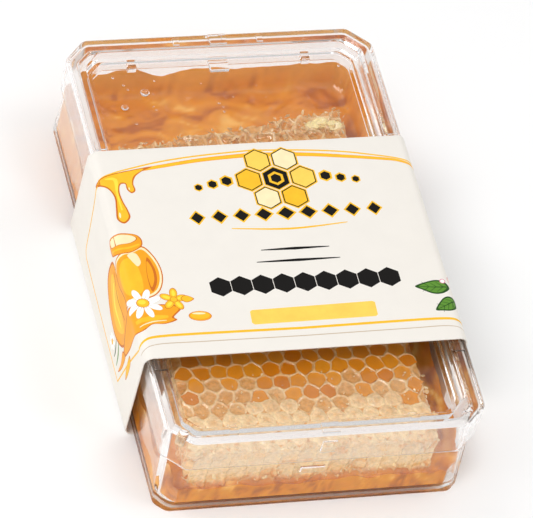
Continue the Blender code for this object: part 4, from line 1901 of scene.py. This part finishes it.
    def build_cell_honey(self, finish: bpy.types.Material) -> None:
        """Fill the open cells with honey, each with a surface that dips in its middle.

        Args:
            finish: The honey.
        """
        mesh = bmesh.new()
        tint = mesh.verts.layers.float_color.new(TINT)
        for outline in self.open_cells:
            level = sum(point.z for point in outline) / len(outline) - self.chance.uniform(0.05, 0.35) * MM
            shade = mixed(Honey.CLEAR.value, Honey.AMBER.value, self.chance.random())
            points = [Vector((point.x, point.y, level)) for point in outline]
            face = mesh.faces.new([mesh.verts.new(point) for point in points])
            ring = list(face.verts)
            grown = bmesh.ops.extrude_face_region(mesh, geom=[face])["geom"]
            top = next(item for item in grown if isinstance(item, bmesh.types.BMFace))
            for vert in ring:
                vert.co.z -= 0.5 * MM
            ring += top.verts
            for reach, rise in ((0.25 * MM, -0.10 * MM), (0.6 * MM, -0.05 * MM)):
                bmesh.ops.inset_individual(mesh, faces=[top], thickness=reach, depth=rise)
                ring += top.verts
            for vert in ring:
                vert[tint] = (*shade, 1.0)
            middle = bmesh.ops.poke(mesh, faces=[top])["verts"][0]
            middle[tint] = (*mixed(shade, Honey.DEEP.value, 0.2), 1.0)
        bmesh.ops.recalc_face_normals(mesh, faces=mesh.faces)
        settle(object_from(mesh, "cell_honey", 60.0), finish, Slot.HONEY)

    def add_bit(
        self, mesh: bmesh.types.BMesh, tint: Any, place: Vector, size: Vector, shade: Colour,
        fineness: int = 1,
    ) -> None:
        """Add one ragged crumb or flake of wax, turned any way.

        Args:
            mesh: The mesh that holds the bits.
            tint: Its colour layer.
            place: Middle of the bit.
            size: Half sizes along its own axes.
            shade: Its colour.
            fineness: How often its ball is divided.
        """
        turn = Euler([self.chance.uniform(-math.pi, math.pi) for _ in range(3)]).to_matrix()
        if fineness > 1:
            turn = Matrix.Identity(3)
        for vert in bmesh.ops.create_icosphere(mesh, subdivisions=fineness, radius=1.0)["verts"]:
            ragged = vert.co * self.chance.uniform(0.72, 1.2)
            vert.co = place + turn @ Vector((ragged.x * size.x, ragged.y * size.y, ragged.z * size.z))
            vert.co.z = min(vert.co.z, self.ceiling + 0.3 * MM)
            vert[tint] = (*mixed(shade, Wax.CREAM.value, self.chance.uniform(0.0, 0.4)), 1.0)

    def build_bits(self, finish: bpy.types.Material) -> None:
        """Strew torn flakes and crumbs along the slab's edges, and lay one lump on its back corner.

        Args:
            finish: The wax.
        """
        mesh = bmesh.new()
        tint = mesh.verts.layers.float_color.new(TINT)
        draw = self.chance.uniform
        back_left = Vector((self.left, self.back_left, self.top))
        back_right = Vector((self.right, self.back_right, self.top))
        for _ in range(150):
            place = back_left.lerp(back_right, draw(0.0, 1.0))
            place += Vector((draw(-1, 1), draw(-9, 0.5), draw(0.2, 1.9))) * MM
            size = Vector((draw(0.5, 1.5), draw(0.3, 0.8), draw(0.08, 0.2))) * MM
            self.add_bit(mesh, tint, place, size, mixed(Wax.CREAM.value, Wax.TAN.value, draw(0.0, 1.0)))
        for _ in range(50):
            place = back_left.lerp(back_right, draw(0.0, 1.0))
            place += Vector((0, draw(-0.2, 1.4), draw(-8, 0))) * MM
            size = Vector((draw(0.4, 0.9), draw(0.3, 0.7), draw(0.2, 0.5))) * MM
            self.add_bit(mesh, tint, place, size, mixed(Wax.PALE.value, Wax.SOAKED.value, draw(0.0, 1.0)))
        for _ in range(70):
            x = self.right + draw(-0.3, 0.7) * MM
            place = Vector((x, draw(self.front, self.window_front + 4 * MM), 0))
            place.z = draw(self.floor + 6 * MM, self.top + 0.4 * MM)
            size = Vector((draw(0.4, 1.1), draw(0.3, 0.8), draw(0.1, 0.4))) * MM
            self.add_bit(mesh, tint, place, size, mixed(Wax.CREAM.value, Wax.TAN.value, draw(0.0, 0.8)))
        for _ in range(110):
            low = draw(0.0, 1.0) < 0.5
            bottom = self.floor + 5 * MM if low else self.top - 1 * MM
            height = draw(bottom, self.floor + 9 * MM if low else self.top + 0.5 * MM)
            place = Vector((draw(self.left, self.right), self.front + draw(-0.1, 0.8) * MM, height))
            size = Vector((draw(0.4, 1.2), draw(0.15, 0.35), draw(0.3, 0.8))) * MM
            shade = mixed(Wax.CREAM.value, Honey.THIN.value if low else Wax.PALE.value, draw(0.0, 1.0))
            self.add_bit(mesh, tint, place, size, shade)
        for _ in range(120):
            place = Vector((draw(self.left + 2 * MM, self.right), draw(self.front, self.window_front), 0))
            place.z = self.top + draw(0.0, 0.5) * MM
            size = Vector((draw(0.2, 0.55), draw(0.15, 0.4), draw(0.06, 0.2))) * MM
            self.add_bit(mesh, tint, place, size, Wax.CREAM.value)
        lump = srgb(250, 226, 158)
        for shift in (Vector((26.5, 44.0, 0.4)), Vector((30.0, 43.0, 0.1)), Vector((24.0, 43.2, 0.0))):
            place = Vector((shift.x * MM, shift.y * MM, self.top + shift.z * MM))
            self.add_bit(mesh, tint, place, Vector((2.6, 1.8, 1.6)) * MM, lump, 3)
        bmesh.ops.recalc_face_normals(mesh, faces=mesh.faces)
        settle(object_from(mesh, "wax_bits", 40.0), finish, Slot.WAX)

    def build(self, wax: bpy.types.Material, honey: bpy.types.Material) -> None:
        """Make and dress everything that the slab holds.

        Args:
            wax: The wax's material.
            honey: The honey's material.
        """
        self.build_slab(wax)
        self.build_cell_honey(honey)
        self.build_bits(wax)


@dataclass
class HoneyPool:
    """Honey that has run out of the comb and wets the tray's walls."""

    shape: BoxShape
    comb: Comb
    level: float
    floor: float
    wall_low: float = 3.35 * MM
    wall_top: float = 3.15 * MM
    wall_bottom_height: float = 3.2 * MM
    wall_top_height: float = 30.8 * MM
    bite: float = 0.1 * MM
    spacing: float = 0.85 * MM

    @classmethod
    def from_frame(cls, shape: BoxShape, comb: Comb) -> "HoneyPool":
        """Read the pool's level and floor from the frame."""
        low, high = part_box("honey_pool")
        return cls(shape, comb, high.z, low.z - 0.4 * MM)

    def wall_inset(self, height: float) -> float:
        """How far in from the outline the honey reaches, just inside the wall's face.

        Args:
            height: The height there.

        Returns:
            The inset.
        """
        wall_height = self.wall_top_height - self.wall_bottom_height
        share = (height - self.shape.foot - self.wall_bottom_height) / wall_height
        return self.wall_low + (self.wall_top - self.wall_low) * min(1.0, max(0.0, share)) - self.bite

    def to_wall(self, place: Vector, inset: float) -> float:
        """Distance from a place to the outline moved in by inset.

        Args:
            place: The place.
            inset: How far in the outline is moved.

        Returns:
            The distance, in metres.
        """
        x, y = self.shape.half_x - inset, self.shape.half_y - inset
        cut = self.shape.corner_cut * 0.6
        corner = (x + y - cut - abs(place.x) - abs(place.y)) / math.sqrt(2.0)
        return min(x - abs(place.x), y - abs(place.y), corner)

    def surface(self, place: Vector) -> float:
        """Height of the honey's surface at a place.

        Args:
            place: The place, at height 0.

        Returns:
            The height.
        """
        warp = Vector((ripple(place, 11 * MM, 21.0), ripple(place, 11 * MM, 22.0), 0)) * 5 * MM
        height = self.level - 0.4 * MM + 1.2 * MM * ripple(place + warp, 11 * MM, 23.0)
        height += 0.5 * MM * ripple(place + warp, 4 * MM, 24.0)
        ahead = eased(place.y, self.comb.front + 2 * MM, self.comb.front - 0.3 * MM)
        across = Vector((place.x, 0, 0))
        height -= ahead * (3.6 * MM - 1.5 * MM * ripple(across, 6 * MM, 25.0))
        gap = max(0.0, -self.comb.inside(place))
        height += 1.3 * MM * math.exp(-gap / (1.1 * MM)) * (1 - ahead)
        wall = max(0.0, self.to_wall(place, self.wall_low))
        behind = eased(place.y, self.comb.back_left, self.comb.back_right + 6 * MM)
        film = max(0.0, 0.5 * ripple(Vector((place.x, place.y, 0)), 10 * MM, 26.0) + 0.12 + 0.8 * behind)
        height += (0.6 * MM + 9.0 * MM * film * (1 - ahead)) * math.exp(-wall / (0.55 * MM))
        return height

    def shade(self, place: Vector) -> Colour:
        """Colour of the honey at a place, in long swirls.

        Args:
            place: The place.

        Returns:
            The colour.
        """
        warp = Vector((ripple(place, 9 * MM, 31.0), ripple(place, 9 * MM, 32.0), 0)) * 6 * MM
        flow = place + warp
        behind = eased(place.y, self.comb.back_left - 4 * MM, self.comb.back_right)
        streak = Vector((flow.x * (2.2 - 1.7 * behind), flow.y * (0.35 + 1.3 * behind), flow.z))
        swirl = 0.5 + 1.0 * ripple(streak, 7 * MM, 33.0) + 0.6 * ripple(streak, 2.2 * MM, 34.0)
        shade = mixed(Honey.AMBER.value, Honey.CLEAR.value, swirl)
        shade = mixed(shade, Honey.THIN.value, eased(swirl, 0.85, 1.25))
        shade = mixed(shade, Honey.DEEP.value, eased(-swirl, -0.25, 0.15) * 0.8)
        climbed = eased(place.z, self.level + 0.8 * MM, self.level + 4 * MM)
        return mixed(shade, Honey.THIN.value, 0.6 * climbed)

    def build(self, finish: bpy.types.Material) -> None:
        """Make and dress the pool.

        Args:
            finish: The honey.
        """
        half_x = self.shape.half_x - self.wall_low + self.bite
        half_y = self.shape.half_y - self.wall_low + self.bite
        mesh = bmesh.new()
        counts = round(2 * half_x / self.spacing), round(2 * half_y / self.spacing)
        bmesh.ops.create_grid(mesh, x_segments=counts[0], y_segments=counts[1], size=1.0)
        bmesh.ops.scale(mesh, vec=(half_x, half_y, 1.0), verts=mesh.verts)
        cut = 4.0 * MM
        for side_x in (-1, 1):
            for side_y in (-1, 1):
                geometry = mesh.verts[:] + mesh.edges[:] + mesh.faces[:]
                corner = Vector((side_x * (half_x - cut), side_y * half_y, 0))
                out = Vector((side_x, side_y, 0)).normalized()
                bmesh.ops.bisect_plane(
                    mesh, geom=geometry, dist=0.001 * MM, plane_co=corner, plane_no=out, clear_outer=True
                )
        rim = [edge for edge in mesh.edges if edge.is_boundary]
        for vert in mesh.verts:
            vert.co.z = self.surface(vert.co)
            spread = self.wall_inset(vert.co.z) - self.wall_inset(self.floor)
            vert.co.x -= math.copysign(spread, vert.co.x) * abs(vert.co.x) / half_x
            vert.co.y -= math.copysign(spread, vert.co.y) * abs(vert.co.y) / half_y
        for share in (0.25, 0.5, 0.75, 1.0):
            grown = bmesh.ops.extrude_edge_only(mesh, edges=rim)["geom"]
            for item in grown:
                if isinstance(item, bmesh.types.BMVert):
                    item.co.z += (self.floor - item.co.z) * (share if share == 1.0 else 0.3)
            rim = [edge for edge in mesh.edges if edge.is_boundary]
        bmesh.ops.edgeloop_fill(mesh, edges=rim)
        bmesh.ops.recalc_face_normals(mesh, faces=mesh.faces)
        pool = object_from(mesh, "honey_pool_surface", 70.0)
        paint(pool, lambda index, place: self.shade(place))
        settle(pool, finish, Slot.HONEY, "honey_pool")


def main() -> None:
    """Build the studio and every piece of the pack."""
    logging.basicConfig(level=logging.INFO, format="%(name)s %(message)s")
    effects = SharedEffects()
    Studio().build(effects)
    shape = BoxShape.from_frame(ClearBox.base_inset)
    ClearBox(shape).build(effects)
    sleeve = Sleeve.from_frame()
    sleeve.build(effects)
    SleevePrint(sleeve).build(effects)
    wax = Finish(
        "moist_wax", None, (0.12, 0.38), gloss_wave=1.2 * MM, drift=0.14, drift_wave=0.8 * MM,
        depth=0.09 * MM, depth_wave=0.55 * MM,
        settings={
            "Subsurface Weight": 0.15, "Subsurface Scale": 2 * MM, "Subsurface Radius": (1.0, 0.6, 0.3),
            "Coat Weight": 0.7, "Coat Roughness": 0.06,
        },
    ).build(effects)
    honey = Finish(
        "amber_honey", None, (0.06, 0.22), gloss_wave=4 * MM, drift=0.06, drift_wave=3 * MM,
        settings={"IOR": 1.48, "Coat Weight": 0.3, "Coat Roughness": 0.05},
    ).build(effects)
    comb = Comb.from_frame()
    comb.build(wax, honey)
    HoneyPool.from_frame(shape, comb).build(honey)


if __name__ == "__main__":
    main()
